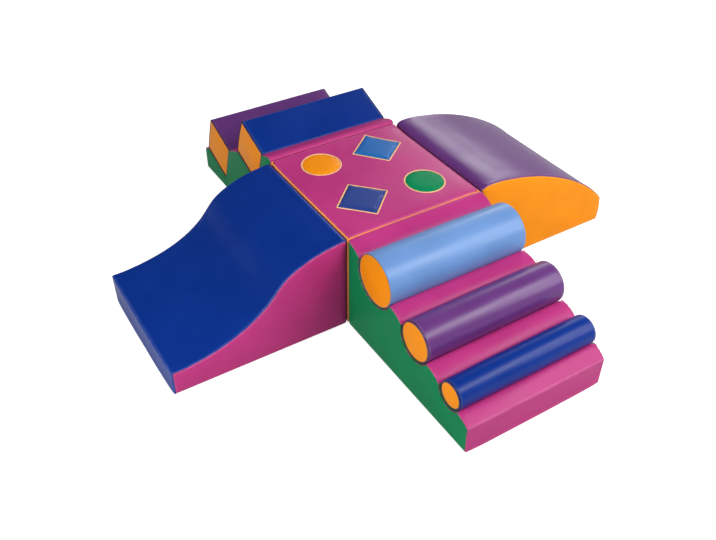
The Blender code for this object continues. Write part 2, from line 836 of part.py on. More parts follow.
add_slide(add_empty("slide_place", (-ARM_PLACE, 0, 0), (0, 0, math.pi)))
add_hump(add_empty("hump_place", (ARM_PLACE, 0, 0), (0, 0, 0)))
add_steps(add_empty("steps_place", (0, -ARM_PLACE, 0), (0, 0, -math.pi / 2)))
add_prism_base(add_empty("prism_base_place", (0, ARM_PLACE, 0), (0, 0, math.pi / 2)))
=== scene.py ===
import json
import math

import bmesh
import bpy
import numpy as np
from mathutils import Matrix, Vector, noise
from mathutils.kdtree import KDTree


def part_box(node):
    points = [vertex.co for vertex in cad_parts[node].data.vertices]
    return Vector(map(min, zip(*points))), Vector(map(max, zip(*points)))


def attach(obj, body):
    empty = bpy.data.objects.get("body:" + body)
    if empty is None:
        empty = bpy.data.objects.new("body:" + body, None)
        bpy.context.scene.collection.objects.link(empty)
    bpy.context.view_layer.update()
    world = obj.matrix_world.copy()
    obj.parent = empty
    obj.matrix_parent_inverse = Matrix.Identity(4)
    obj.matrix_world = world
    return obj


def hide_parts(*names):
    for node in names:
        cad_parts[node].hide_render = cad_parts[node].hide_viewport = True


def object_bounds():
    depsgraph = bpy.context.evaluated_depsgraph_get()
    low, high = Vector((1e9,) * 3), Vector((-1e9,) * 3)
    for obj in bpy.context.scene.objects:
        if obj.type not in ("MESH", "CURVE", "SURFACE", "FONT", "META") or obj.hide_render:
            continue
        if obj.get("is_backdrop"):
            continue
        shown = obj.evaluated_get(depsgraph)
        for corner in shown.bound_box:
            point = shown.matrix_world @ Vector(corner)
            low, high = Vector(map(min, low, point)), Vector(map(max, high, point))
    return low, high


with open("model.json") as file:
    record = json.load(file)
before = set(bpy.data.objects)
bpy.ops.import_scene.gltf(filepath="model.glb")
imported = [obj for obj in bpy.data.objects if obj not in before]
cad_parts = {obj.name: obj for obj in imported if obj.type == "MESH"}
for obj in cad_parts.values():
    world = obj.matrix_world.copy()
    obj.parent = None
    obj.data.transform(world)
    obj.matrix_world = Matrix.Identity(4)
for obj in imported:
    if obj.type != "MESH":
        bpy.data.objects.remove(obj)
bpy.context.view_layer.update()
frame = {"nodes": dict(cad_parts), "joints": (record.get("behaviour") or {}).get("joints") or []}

nodes = frame["nodes"]
mm = 0.001
print("frame loaded:", len(nodes), "nodes")


# Small helpers for objects, edit mode and meshes

def only(obj):
    if bpy.context.mode != "OBJECT":
        bpy.ops.object.mode_set(mode="OBJECT")
    bpy.ops.object.select_all(action="DESELECT")
    obj.select_set(True)
    bpy.context.view_layer.objects.active = obj


def selectAll():
    bpy.ops.mesh.select_all(action="SELECT")


def edit(obj):
    # edit mode with all of the mesh selected
    only(obj)
    bpy.ops.object.mode_set(mode="EDIT")
    bpy.ops.mesh.select_mode(type="VERT")
    bpy.ops.mesh.select_all(action="DESELECT")
    selectAll()


def done():
    bpy.ops.object.mode_set(mode="OBJECT")


def applyAll(obj):
    only(obj)
    for modifier in list(obj.modifiers):
        bpy.ops.object.modifier_apply(modifier=modifier.name)


def applyPlace(obj):
    only(obj)
    bpy.ops.object.transform_apply(location=True, rotation=True, scale=True)


def newMesh(name, points, edges=(), faces=()):
    mesh = bpy.data.meshes.new(name)
    mesh.from_pydata([tuple(p) for p in points], list(edges), list(faces))
    obj = bpy.data.objects.new(name, mesh)
    bpy.context.scene.collection.objects.link(obj)
    return obj


def newLine(name, points, loop=False):
    # points joined by edges, in an open line or a loop
    count = len(points)
    return newMesh(name, points, [(i, (i + 1) % count) for i in range(count if loop else count - 1)])


def named(name):
    obj = bpy.context.active_object
    obj.name = name
    obj.data.name = name
    return obj


def places(obj):
    co = np.empty(len(obj.data.vertices) * 3)
    obj.data.vertices.foreach_get("co", co)
    return co.reshape(-1, 3)


def facing(obj, axis):
    # the mean direction of a mesh's normals along one axis
    out = np.empty(len(obj.data.vertices) * 3, np.float32)
    obj.data.vertex_normals.foreach_get("vector", out)
    return out.reshape(-1, 3).astype(float)[:, axis].mean()


def move(obj, co):
    obj.data.vertices.foreach_set("co", np.asarray(co, float).ravel())
    obj.data.update()


def turned(co, matrix):
    return co @ np.array(matrix).T


def closed(obj):
    edit(obj)
    bpy.ops.mesh.normals_make_consistent(inside=False)
    done()


def flip(obj):
    edit(obj)
    bpy.ops.mesh.flip_normals()
    done()


def weld(obj, distance):
    edit(obj)
    bpy.ops.mesh.remove_doubles(threshold=distance)
    done()


def extrude(obj, stations, axis):
    # draws an outline through its stations along one axis
    edit(obj)
    for before, after in zip(stations, stations[1:]):
        shift = [0, 0, 0]
        shift[axis] = after - before
        bpy.ops.mesh.extrude_edges_move(TRANSFORM_OT_translate={"value": shift})
    done()


def remesh(obj, size):
    even = obj.modifiers.new("even", "REMESH")
    even.mode = "VOXEL"
    even.voxel_size = size
    applyAll(obj)


def soften(obj):
    soft = obj.modifiers.new("soft", "SUBSURF")
    soft.levels = soft.render_levels = 1
    soft.boundary_smooth = "PRESERVE_CORNERS"


def thicken(obj):
    # a sheet becomes vinyl with a thickness
    wall = obj.modifiers.new("vinyl", "SOLIDIFY")
    wall.thickness = cover["vinyl"]
    wall.offset = -1
    applyAll(obj)
    closed(obj)


def smooth(obj, angle=50):
    only(obj)
    bpy.ops.object.shade_smooth_by_angle(angle=math.radians(angle))


def setSeam(obj, values):
    # each vertex's distance from its seam: by it the vinyl paints shade into the seam's groove, and pale
    # rubbed wear with painted highlight along the edge beside it
    layer = obj.data.attributes.get("seam") or obj.data.attributes.new("seam", "FLOAT", "POINT")
    layer.data.foreach_set("value", np.asarray(values, np.float32))


def waves(co, size, depth, seed):
    # slow uneven swell of a stuffed cover, in metres
    shift = Vector((seed * 3.1, seed * 7.7, seed * 1.3))
    return np.array([noise.noise(Vector(p) / size + shift) for p in co]) * depth


def fade(gap, start, width):
    t = np.clip((gap - start) / width, 0, 1)
    return t * t * (3 - 2 * t)


def rising(gap, width):
    # 0 at an edge and nearly 1 a few widths inside it
    return 1 - np.exp(-gap / width)


def lookUp(table, values):
    # what a table of places says at the place nearest to each value
    return np.array([table[min(table, key=lambda place: abs(place - value))] for value in values])


# Materials

def colour(text):
    parts = [int(text[i:i + 2], 16) / 255 for i in (1, 3, 5)]
    return (*[c / 12.92 if c <= 0.04045 else ((c + 0.055) / 1.055) ** 2.4 for c in parts], 1)


def feed(tree, socket, value):
    # a socket takes a plain value or what another node puts out
    if isinstance(value, bpy.types.NodeSocket):
        tree.links.new(value, socket)
    else:
        socket.default_value = value


def addNode(tree, kind, settings=None, numbered=()):
    # one node, its settings by name and its inputs by number where their names repeat
    node = tree.nodes.new(kind)
    for key, value in (settings or {}).items():
        if key in node.inputs.keys():
            feed(tree, node.inputs[key], value)
        else:
            setattr(node, key, value)
    for number, value in numbered:
        feed(tree, node.inputs[number], value)
    return node


def maths(tree, operation, first, second):
    return addNode(tree, "ShaderNodeMath", {"operation": operation}, [(0, first), (1, second)]).outputs[0]


def ranged(tree, value, before, after, kind="LINEAR"):
    # carries a value from one range to another
    return addNode(tree, "ShaderNodeMapRange", {
        "interpolation_type": kind, "Value": value, "From Min": before[0], "From Max": before[1],
        "To Min": after[0], "To Max": after[1]}).outputs["Result"]


def bumped(tree, height, strength, distance, **more):
    settings = {"Strength": strength, "Distance": distance, "Height": height, **more}
    return addNode(tree, "ShaderNodeBump", settings).outputs["Normal"]


def twoTones(tree, share, dark, light):
    ramp = addNode(tree, "ShaderNodeValToRGB", {"Fac": share})
    for element, tone in zip(ramp.color_ramp.elements, (dark, light)):
        element.color = colour(tone)
    return ramp.outputs["Color"]


def startMaterial(name, roughness, specular):
    material = bpy.data.materials.new(name)
    material.use_nodes = True
    tree = material.node_tree
    shader = tree.nodes["Principled BSDF"].inputs
    shader["Roughness"].default_value = roughness
    shader["Specular IOR Level"].default_value = specular
    shader["IOR"].default_value = 1.5
    where = addNode(tree, "ShaderNodeTexCoord").outputs["Object"]
    return material, tree, shader, where


vinylFinish = {
    "grainSize": 2.6 * mm,      # real grain is about 1 mm: drawn coarser so that it shows
    "grainDepth": 0.10 * mm,
    "creaseSize": 55 * mm,
    "creaseDepth": 0.9 * mm,
    "patchSize": 160 * mm,
    "patchTone": (0.93, 1.06),
    "noise": (0.2, 0.8),        # the range that the noise textures nearly always stay in
    "smoother": 0.05,
    "rougher": 0.07,
    "leastRoughness": 0.29,     # smoother patches would stand out with an outline of their own
    # painted shade: within seamWidth of a seam the vinyl darkens down to seamShade of its colour, standing in
    # for the groove's shadow
    "seamShade": 0.42,
    "seamWidth": 3 * mm,
    # from seamWidth out to the next width the edges turn pale: rubbed wear, and painted highlight on the
    # rounded seams
    "rubAndSheenWidth": 8 * mm,
    "scuffScale": 38,
    "leastRubAndSheen": 0.25,
}


def coatedVinyl(name, base, wornAndSheen, gloss=0.3, rubAndSheenAmount=0.16, roughness=0.36):
    # PVC-coated polyester cloth, calendered and embossed: satin, with soft highlights and a leather grain
    finish = vinylFinish
    material, tree, shader, where = startMaterial(name, roughness, gloss)
    fog = addNode(tree, "ShaderNodeTexNoise", {"Scale": 1 / finish["patchSize"], "Detail": 3,
                                               "Vector": where}).outputs["Fac"]
    seam = addNode(tree, "ShaderNodeAttribute", {"attribute_name": "seam"}).outputs["Fac"]
    # random tone, times painted shade that darkens the groove at each seam
    tone = maths(tree, "MULTIPLY", ranged(tree, fog, finish["noise"], finish["patchTone"], "SMOOTHSTEP"),
                 ranged(tree, seam, (0, finish["seamWidth"]), (finish["seamShade"], 1)))

    # edges turn pale: rubbed wear where hands and knees pass over them, and painted highlight where the
    # rounded seams catch the light
    near = ranged(tree, seam, (finish["seamWidth"], finish["rubAndSheenWidth"]), (1, 0))
    broken = addNode(tree, "ShaderNodeTexNoise", {"Scale": finish["scuffScale"], "Detail": 5,
                                                  "Vector": where}).outputs["Fac"]
    patchyRubAndSheen = ranged(tree, broken, finish["noise"], (finish["leastRubAndSheen"] * rubAndSheenAmount, rubAndSheenAmount), "SMOOTHSTEP")
    rubAndSheen = maths(tree, "MULTIPLY", near, patchyRubAndSheen)
    blend = addNode(tree, "ShaderNodeMix", {"data_type": "RGBA"},
                    [(0, rubAndSheen), (6, colour(base)), (7, colour(wornAndSheen))]).outputs[2]
    shade = addNode(tree, "ShaderNodeVectorMath", {"operation": "SCALE", "Scale": tone}, [(0, blend)])
    feed(tree, shader["Base Color"], shade.outputs[0])
    smoothest = max(roughness - finish["smoother"], finish["leastRoughness"])
    feed(tree, shader["Roughness"],
         ranged(tree, fog, finish["noise"], (smoothest, roughness + finish["rougher"]), "SMOOTHSTEP"))

    grain = addNode(tree, "ShaderNodeTexVoronoi", {"Scale": 1 / finish["grainSize"], "Vector": where})
    creases = addNode(tree, "ShaderNodeTexNoise", {"Scale": 1 / finish["creaseSize"], "Detail": 2,
                                                   "Distortion": 0.6, "Vector": where})
    deep = bumped(tree, creases.outputs["Fac"], 0.5, finish["creaseDepth"])
    feed(tree, shader["Normal"],
         bumped(tree, grain.outputs["Distance"], 0.5, finish["grainDepth"], Normal=deep))
    return material


def wovenTape(name, base, light):
    # hook and loop tape: woven nylon with a dense matt pile
    material, tree, shader, where = startMaterial(name, 0.92, 0.2)
    loops = addNode(tree, "ShaderNodeTexVoronoi", {"Scale": 1 / (1.6 * mm), "Vector": where})
    pile = loops.outputs["Distance"]
    feed(tree, shader["Base Color"], twoTones(tree, pile, base, light))
    feed(tree, shader["Normal"], bumped(tree, pile, 0.8, 0.5 * mm))
    return material


def gripVinyl(name, base, light):
    # anti-slip underside: matt vinyl embossed with small round dots
    material, tree, shader, where = startMaterial(name, 0.78, 0.3)
    dots = addNode(tree, "ShaderNodeTexVoronoi", {"Scale": 1 / (4 * mm), "Randomness": 0, "Vector": where})
    dust = addNode(tree, "ShaderNodeTexNoise", {"Scale": 14, "Detail": 5, "Vector": where})
    feed(tree, shader["Base Color"], twoTones(tree, dust.outputs["Fac"], base, light))
    feed(tree, shader["Normal"], bumped(tree, dots.outputs["Distance"], 0.7, 0.6 * mm, invert=True))
    return material


def mouldedZip(name, base, light):
    # coil zip: moulded nylon teeth across a woven tape
    material, tree, shader, where = startMaterial(name, 0.5, 0.4)
    teeth = addNode(tree, "ShaderNodeTexWave", {"Scale": 1 / (9 * mm), "bands_direction": "Y",
                                                "Vector": where}).outputs["Fac"]
    feed(tree, shader["Base Color"], twoTones(tree, teeth, base, light))
    feed(tree, shader["Normal"], bumped(tree, teeth, 0.8, 0.4 * mm))
    return material


# new colour and the pale edge colour (rubbed wear and painted highlight), gloss, and for some how pale their
# edges turn and how rough they are
vinylKinds = {
    "magenta": ("magenta coated vinyl", "#BE347F", "#E890BC", 0.2, 0.3),
    "blue": ("dark blue coated vinyl", "#00308C", "#6478BC", 0.24, 0.4, 0.3),
    "sky": ("light blue coated vinyl", "#6C97D3", "#A8C4EE", 0.4),
    "midBlue": ("mid blue coated vinyl", "#246CB8", "#6C9CD2", 0.15, 0.04),
    "inkBlue": ("ink blue coated vinyl", "#28428E", "#6478B4", 0.25, 0.04),
    "orange": ("orange coated vinyl", "#FF980A", "#FFC070", 0.12),
    "welt": ("pale orange coated vinyl", "#FFCC90", "#FFE0BC", 0.12),
    "piping": ("salmon orange coated vinyl", "#FF9C56", "#FFC494", 0.12),
    "purple": ("purple coated vinyl", "#66327C", "#A888B8", 0.45, 0.35, 0.3),
    "green": ("green coated vinyl", "#048450", "#58A482", 0.08),
    "greenPad": ("taut green coated vinyl", "#068A56", "#58A482", 0.05),
}
vinyl = {kind: coatedVinyl(*facts) for kind, facts in vinylKinds.items()}
tape = wovenTape("hook and loop tape", "#1A1A1E", "#4A4A52")
grip = gripVinyl("anti-slip vinyl", "#36363C", "#55555C")
zipper = mouldedZip("nylon zip", "#242428", "#46464C")
print("materials ready:", len(bpy.data.materials))


# Cloth with air inside, for the stuffed covers

air = {
    "frames": 20,
    "pressure": 4,
    "quality": 6,
    "mass": 0.35,
    "stretch": 18,
    "shear": 8,
    "bend": 0.8,
}


def inflate(obj, cap, held):
    # pressure without gravity: the held vertices stay, and no other moves further than the cap
    start = places(obj)
    group = obj.vertex_groups.new(name="held")
    for i in np.flatnonzero(held):
        group.add([int(i)], 1, "REPLACE")
    cloth = obj.modifiers.new("air", "CLOTH")
    values = cloth.settings
    values.quality = air["quality"]
    values.mass = air["mass"]
    values.tension_stiffness = values.compression_stiffness = air["stretch"]
    values.shear_stiffness = air["shear"]
    values.bending_stiffness = air["bend"]
    values.use_pressure = True
    values.uniform_pressure_force = air["pressure"]
    values.effector_weights.gravity = 0
    values.vertex_group_mass = "held"
    cloth.collision_settings.use_collision = False
    cloth.point_cache.frame_start, cloth.point_cache.frame_end = 1, air["frames"]
    scene = bpy.context.scene
    for frameNumber in range(1, air["frames"] + 1):
        scene.frame_set(frameNumber)
    only(obj)
    bpy.ops.object.modifier_apply(modifier=cloth.name)
    scene.frame_set(1)
    moved = places(obj) - start
    size = np.linalg.norm(moved, axis=1)
    keep = np.where(held | (size == 0), 0, cap * np.tanh(size / cap) / np.maximum(size, 1e-9))
    obj.vertex_groups.clear()
    move(obj, start + moved * keep[:, None])


# Outlines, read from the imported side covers

def outlineOf(node, turn):
    # a cover's flat side as points (out from the block, up), from its back foot round to its lip foot
    bm = bmesh.new()
    bm.from_mesh(nodes[node].data)
    bmesh.ops.remove_doubles(bm, verts=bm.verts, dist=0.02 * mm)
    bm.transform(Matrix.Rotation(-turn, 4, "Z"))
    side = max(vert.co.y for vert in bm.verts)
    flat = {face for face in bm.faces if min(vert.co.y for vert in face.verts) > side - 0.1 * mm}
    following = {}
    for face in flat:
        for edge in face.edges:
            if sum(other in flat for other in edge.link_faces) == 1:
                first, second = edge.verts
                following.setdefault(first, []).append(second)
                following.setdefault(second, []).append(first)
    path = [min(following, key=lambda vert: (round(vert.co.x, 3), vert.co.z))]
    ahead = max(following[path[0]], key=lambda vert: vert.co.z)
    while ahead is not path[0]:
        path.append(ahead)
        ahead = next(vert for vert in following[ahead] if vert is not path[-2])
    points = [Vector((vert.co.x, vert.co.z)) for vert in path]
    bm.free()
    return points, side


# the stuffed covers have round back shoulders and sharp lips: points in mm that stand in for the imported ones
shoulders = {
    "slide": {"back": 2, "backPoints": [(303.4, 388), (304.6, 394.6), (308.8, 398.6), (318, 399.8)],
              "lip": 4, "lipPoints": [(1013.6, 102)]},
    "hump": {"back": 8, "backPoints": [(304.6, 368), (305.8, 381), (309.6, 393), (316.4, 402.4), (326, 408.4),
                                       (341, 412), (362, 413.4), (388, 412.6), (422, 408.8)],
             "lip": 0, "lipPoints": []},
    "steps": {"back": 2, "backPoints": [(303.3, 393.6), (304.4, 397), (308, 398.6)],
              "lip": 6, "lipPoints": [(1002, 131.6), (1020, 123.4), (1039.6, 112.6)]},
    "prism_base": {"back": 2, "backPoints": [(303.4, 390), (304, 402), (306, 410), (311, 416), (319, 418),
                                             (328, 416.5), (344, 411), (362, 404)],
                   "lip": 4, "lipPoints": [(1024.4, 104.6)]},
}
curve = {
    "sharp": math.radians(40),              # a turn beyond this stays a corner
    "shares": (0, 0.17, 0.34, 0.5, 0.67, 0.84),
    "longRun": 14 * mm,
    "cornerPair": (1.2 * mm, 3.4 * mm),     # close pairs keep the corners at both ends of a long run sharp
    "cornerRoom": 1.4,
}


def stuffedOutline(arm, turn):
    points, side = outlineOf(f"{arm}_side_cover", turn)
    facts = shoulders[arm]
    back = [Vector(p) * mm for p in facts["backPoints"]]
    lip = [Vector(p) * mm for p in facts["lipPoints"]]
    points[0].y = points[-1].y = cover["foot"]
    return [points[0], *back, *points[facts["back"]:len(points) - 1 - facts["lip"]], *lip, points[-1]], side


def evenRun(run, step):
    # a fair curve through the points of one run, at an even step
    gaps = [(b - a).length for a, b in zip(run, run[1:])]
    dense = list(run)
    if len(run) > 2:
        slopes = [None] * len(run)
        for i in range(1, len(run) - 1):
            before, after = (run[i] - run[i - 1]) / gaps[i - 1], (run[i + 1] - run[i]) / gaps[i]
            slopes[i] = (before * gaps[i] + after * gaps[i - 1]).normalized()
        start, end = (run[1] - run[0]) / gaps[0], (run[-1] - run[-2]) / gaps[-1]
        slopes[0] = (2 * start - slopes[1]).normalized()
        slopes[-1] = (2 * end - slopes[-2]).normalized()
        dense = []
        for i, gap in enumerate(gaps):
            for t in curve["shares"]:
                s = 1 - t
                pull = run[i] * s ** 3 + (run[i] + slopes[i] * gap / 3) * 3 * s * s * t
                pull += (run[i + 1] - slopes[i + 1] * gap / 3) * 3 * s * t * t + run[i + 1] * t ** 3
                dense.append(pull)
        dense.append(run[-1])
    co = np.array(dense)
    reach = np.concatenate([[0], np.cumsum(np.linalg.norm(np.diff(co, axis=0), axis=1))])
    wanted = np.linspace(0, reach[-1], max(2, round(reach[-1] / step) + 1))
    if reach[-1] > curve["longRun"]:
        close = np.array(curve["cornerPair"])
        room = close[1] * curve["cornerRoom"]
        inside = wanted[(wanted > room) & (wanted < reach[-1] - room)]
        wanted = np.concatenate([[0], close, inside, (reach[-1] - close)[::-1], [reach[-1]]])
    return [Vector((np.interp(w, reach, co[:, 0]), np.interp(w, reach, co[:, 1]))) for w in wanted]


def fairLine(points, step):
    corners = [0]
    for i in range(1, len(points) - 1):
        if (points[i] - points[i - 1]).angle(points[i + 1] - points[i]) > curve["sharp"]:
            corners.append(i)
    corners.append(len(points) - 1)
    line = []
    for first, last in zip(corners, corners[1:]):
        line += evenRun(points[first:last + 1], step)[:-1]
    return line + [points[-1]]


def sidesOf(line):
    # outward direction at each point of a line that runs away from the block
    steps = [(b - a).normalized() for a, b in zip(line, line[1:])]
    out = [Vector((-s.y, s.x)) for s in steps]
    middles = [(a + b).normalized() / max(0.6, (a + b).length / 2) for a, b in zip(out, out[1:])]
    return [out[0], *middles, out[-1]]


# Loose pieces that rest in the slopes, measured from the frame

joints = {joint["child"]: joint for joint in frame["joints"]}
sleeveRoom = 4 * mm             # a prism's ends are this much narrower than its sleeve
rollers = {}
for size in ("large", "medium", "small"):
    low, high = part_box(f"{size}_roller_sleeve")
    rollers[size] = {"middle": (low + high) / 2, "radius": (high.z - low.z) / 2, "length": high.x - low.x}
prisms = {}
for tint in ("blue", "purple"):
    low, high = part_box(f"{tint}_prism_sleeve")
    lift = Vector(joints[f"{tint}_prism"]["axis"])
    flat = places(nodes[f"{tint}_prism_left_end"])
    reach = flat @ np.array(lift)
    middle = (flat.max(0) + flat.min(0)) / 2
    prisms[tint] = {"middle": Vector((0, middle[1], middle[2])), "lift": lift, "length": high.x - low.x,
                    "side": (reach.max() - reach.min()) / math.sqrt(2) + sleeveRoom}
    print(tint, "prism side", round(prisms[tint]["side"], 4))


def roomOverRollers(co):
    # how far each place lies outside the nearest roller
    gaps = [np.hypot(co[:, 1] - r["middle"].y, co[:, 2] - r["middle"].z) - r["radius"]
            for r in rollers.values()]
    return np.min(gaps, axis=0)


def roomOverPrisms(co):
    gaps = []
    for facts in prisms.values():
        up = np.array(facts["lift"])
        along = np.array([0, up[2], -up[1]])
        away = co - np.array(facts["middle"])
        first, second = away @ (up + along) / math.sqrt(2), away @ (up - along) / math.sqrt(2)
        gaps.append(np.maximum(abs(first), abs(second)) - facts["side"] / 2)
    return np.min(gaps, axis=0)


settling = {
    "start": 585 * mm,          # distance from the block's centre where the shift begins, and its length
    "length": 70 * mm,
    "lip": 985 * mm,
    "lipLength": 55 * mm,
    "lipShare": 0.85,
    "width": 600 * mm,
    "foot": (10 * mm, 80 * mm),
    "near": (7 * mm, 1 * mm),   # toward the block and up, on the near side
    "far": (3 * mm, 12 * mm),
}


def settle(obj, share=None):
    # the lower cradles and their rollers really lie nearer the block, and higher on their far side
    co = places(obj)
    far = np.clip(co[:, 0] / settling["width"] + 0.5, 0, 1)
    if share is None:
        down = -co[:, 1]
        share = fade(down, settling["start"], settling["length"]) * fade(co[:, 2], *settling["foot"])
        share *= 1 - settling["lipShare"] * fade(down, settling["lip"], settling["lipLength"])
    for axis in (0, 1):
        co[:, axis + 1] += share * (settling["near"][axis] * (1 - far) + settling["far"][axis] * far)
    move(obj, co)


# The four arms: a top cover that runs over the foam, and a side cover that wraps the sides and the back

# lift raises the slide's far lip corner, round is the radius of the upright edges at an arm's back, wide is
# how far its stuffing pushes each side out, and free is how gradually a cover leaves a piece that rests on it
arms = {
    "slide": {"turn": 180, "top": "blue", "side": "magenta", "slots": ("blue_vinyl", "magenta_vinyl"),
              "crown": 9 * mm, "edge": 20 * mm, "fill": 0.8, "seed": 1, "round": 14 * mm, "lift": 17 * mm,
              "wide": 3 * mm, "lipEdge": (1013.6, 102)},
    "hump": {"turn": 0, "top": "purple", "side": "orange", "slots": ("purple_vinyl", "orange_vinyl"),
             "crown": 4 * mm, "edge": 26 * mm, "fill": 0.85, "seed": 2, "round": 20 * mm, "lift": 0,
             "wide": 3 * mm, "lipEdge": None},
    "steps": {"turn": -90, "top": "magenta", "side": "green", "slots": ("magenta_vinyl", "green_vinyl"),
              "crown": 5 * mm, "edge": 22 * mm, "fill": 0.7, "seed": 3, "round": 12 * mm, "lift": 0,
              "wide": 3 * mm, "lipEdge": (1039.6, 112.6), "room": roomOverRollers, "free": 22 * mm},
    "prism_base": {"turn": 90, "top": "magenta", "side": "green", "slots": ("magenta_vinyl", "green_vinyl"),
                   "crown": 2 * mm, "edge": 22 * mm, "fill": 0.7, "seed": 4, "round": 9 * mm, "lift": 0,
                   "wide": 2 * mm, "lipEdge": (1024.4, 104.6), "room": roomOverPrisms, "free": 20 * mm},
}
# along the slide the crown follows a sine of these degrees up to a share of its length, then stays level
slideCrown = {"start": 10, "sweep": 120, "share": 0.86, "lip": 0.77}
# along the hump it rises and falls over a share of its length, and is drawn in just beyond
humpCrown = {"share": 0.8, "height": 0.9, "drawnAt": 0.86, "drawnWidth": 0.07, "drawn": 1.5}
cover = {
    "foot": 0.6 * mm,
    "step": 10 * mm,
    "ringStep": 5 * mm,
    "roll": 6 * mm,
    "columns": 19,
    "proud": 1.8 * mm,          # the top cover lies this far over the side cover's outline
    "vinyl": 1.2 * mm,
    "crownShares": (0.68, 0.32),    # of the crown, near the edges and over the full width
    "slackWidth": 22 * mm,
    "hem": 16 * mm,             # under a roller or a prism the hem is tucked in behind the side cover
    "hemFade": 8 * mm,
    "hemTuck": 2.6 * mm,
    "pressed": 0.7 * mm,
    "slab": 14 * mm,
    "voxel": 6 * mm,
    "sidePuff": 3.2 * mm,
    "puffWidth": 16 * mm,
    "sideSwellWidth": 30 * mm,
    "sideProud": 0.4 * mm,
    "backFade": (4 * mm, 26 * mm),
    "swellSize": 120 * mm,
    "swellDepth": 0.9 * mm,
    "gatherSize": 26 * mm,
    "gatherDepth": 0.45 * mm,
    "gatherAt": 8 * mm,
    "gatherWidth": 14 * mm,
    "lipHeight": 104 * mm,
    "heldEdge": 7 * mm,
    "heldEnd": 30 * mm,
    "cap": 2.2 * mm,
}


def nameOf(body):
    return body.replace("prism_base", "prismBase")


def roundBack(co, back, half, radius):
    # the two upright edges at an arm's back are rounded in plan
    u = (back + radius - co[:, 0]) / radius
    v = (abs(co[:, 1]) - (half - radius)) / radius
    bent = (u > 0) & (v > 0)
    out = co.copy()
    u, v = np.clip(u, 0, 1.3), np.clip(v, 0, 1.3)
    out[:, 0] = np.where(bent, back + radius - radius * u * np.sqrt(1 - v * v / 2), co[:, 0])
    across = np.sign(co[:, 1]) * (half - radius + radius * v * np.sqrt(1 - u * u / 2))
    out[:, 1] = np.where(bent, across, co[:, 1])
    return out


def liftLip(co, reach, half, lift):
    # the far corner of the lip stands higher: in the arm's own frame far is toward -y
    share = fade(co[:, 0], 0.62 * reach, 0.38 * reach) * ((half - co[:, 1]) / (2 * half)) ** 2
    out = co.copy()
    out[:, 2] *= 1 + lift / cover["lipHeight"] * np.clip(share, 0, 1)
    return out


def stationsAcross(half):
    # places across an arm: tucked hem, rolled edge, then even steps; each with its drop at the edge
    roll = cover["roll"]
    edge = [(0.36 * roll, 0.95 * roll)]
    for t in map(math.radians, (62, 38, 16)):
        edge.append((roll * (1 - math.sin(t)), roll * (1 - math.cos(t))))
    edge += [(roll * reach, 0) for reach in (1.1, 1.8, 3, 4.8)]
    inner = np.linspace(half - edge[-1][0], 0, cover["columns"])[1:]
    left = [(d - half, drop) for d, drop in edge] + [(-y, 0) for y in inner]
    return left + [(-y, drop) for y, drop in reversed(left[:-1])]


def crownAlong(arm, reach):
    # share of the crown at each point of the line
    share = reach / reach[-1]
    if arm == "slide":
        bow = np.sin(np.radians(slideCrown["start"] + slideCrown["sweep"] * share / slideCrown["share"]))
        return np.where(share < slideCrown["share"], bow, slideCrown["lip"])
    if arm == "hump":
        crest = np.sin(math.pi * np.clip(share / humpCrown["share"], 0, 1))
        drawn = np.exp(-((share - humpCrown["drawnAt"]) / humpCrown["drawnWidth"]) ** 2)
        return crest * humpCrown["height"] - humpCrown["drawn"] * drawn
    return np.ones(len(reach))


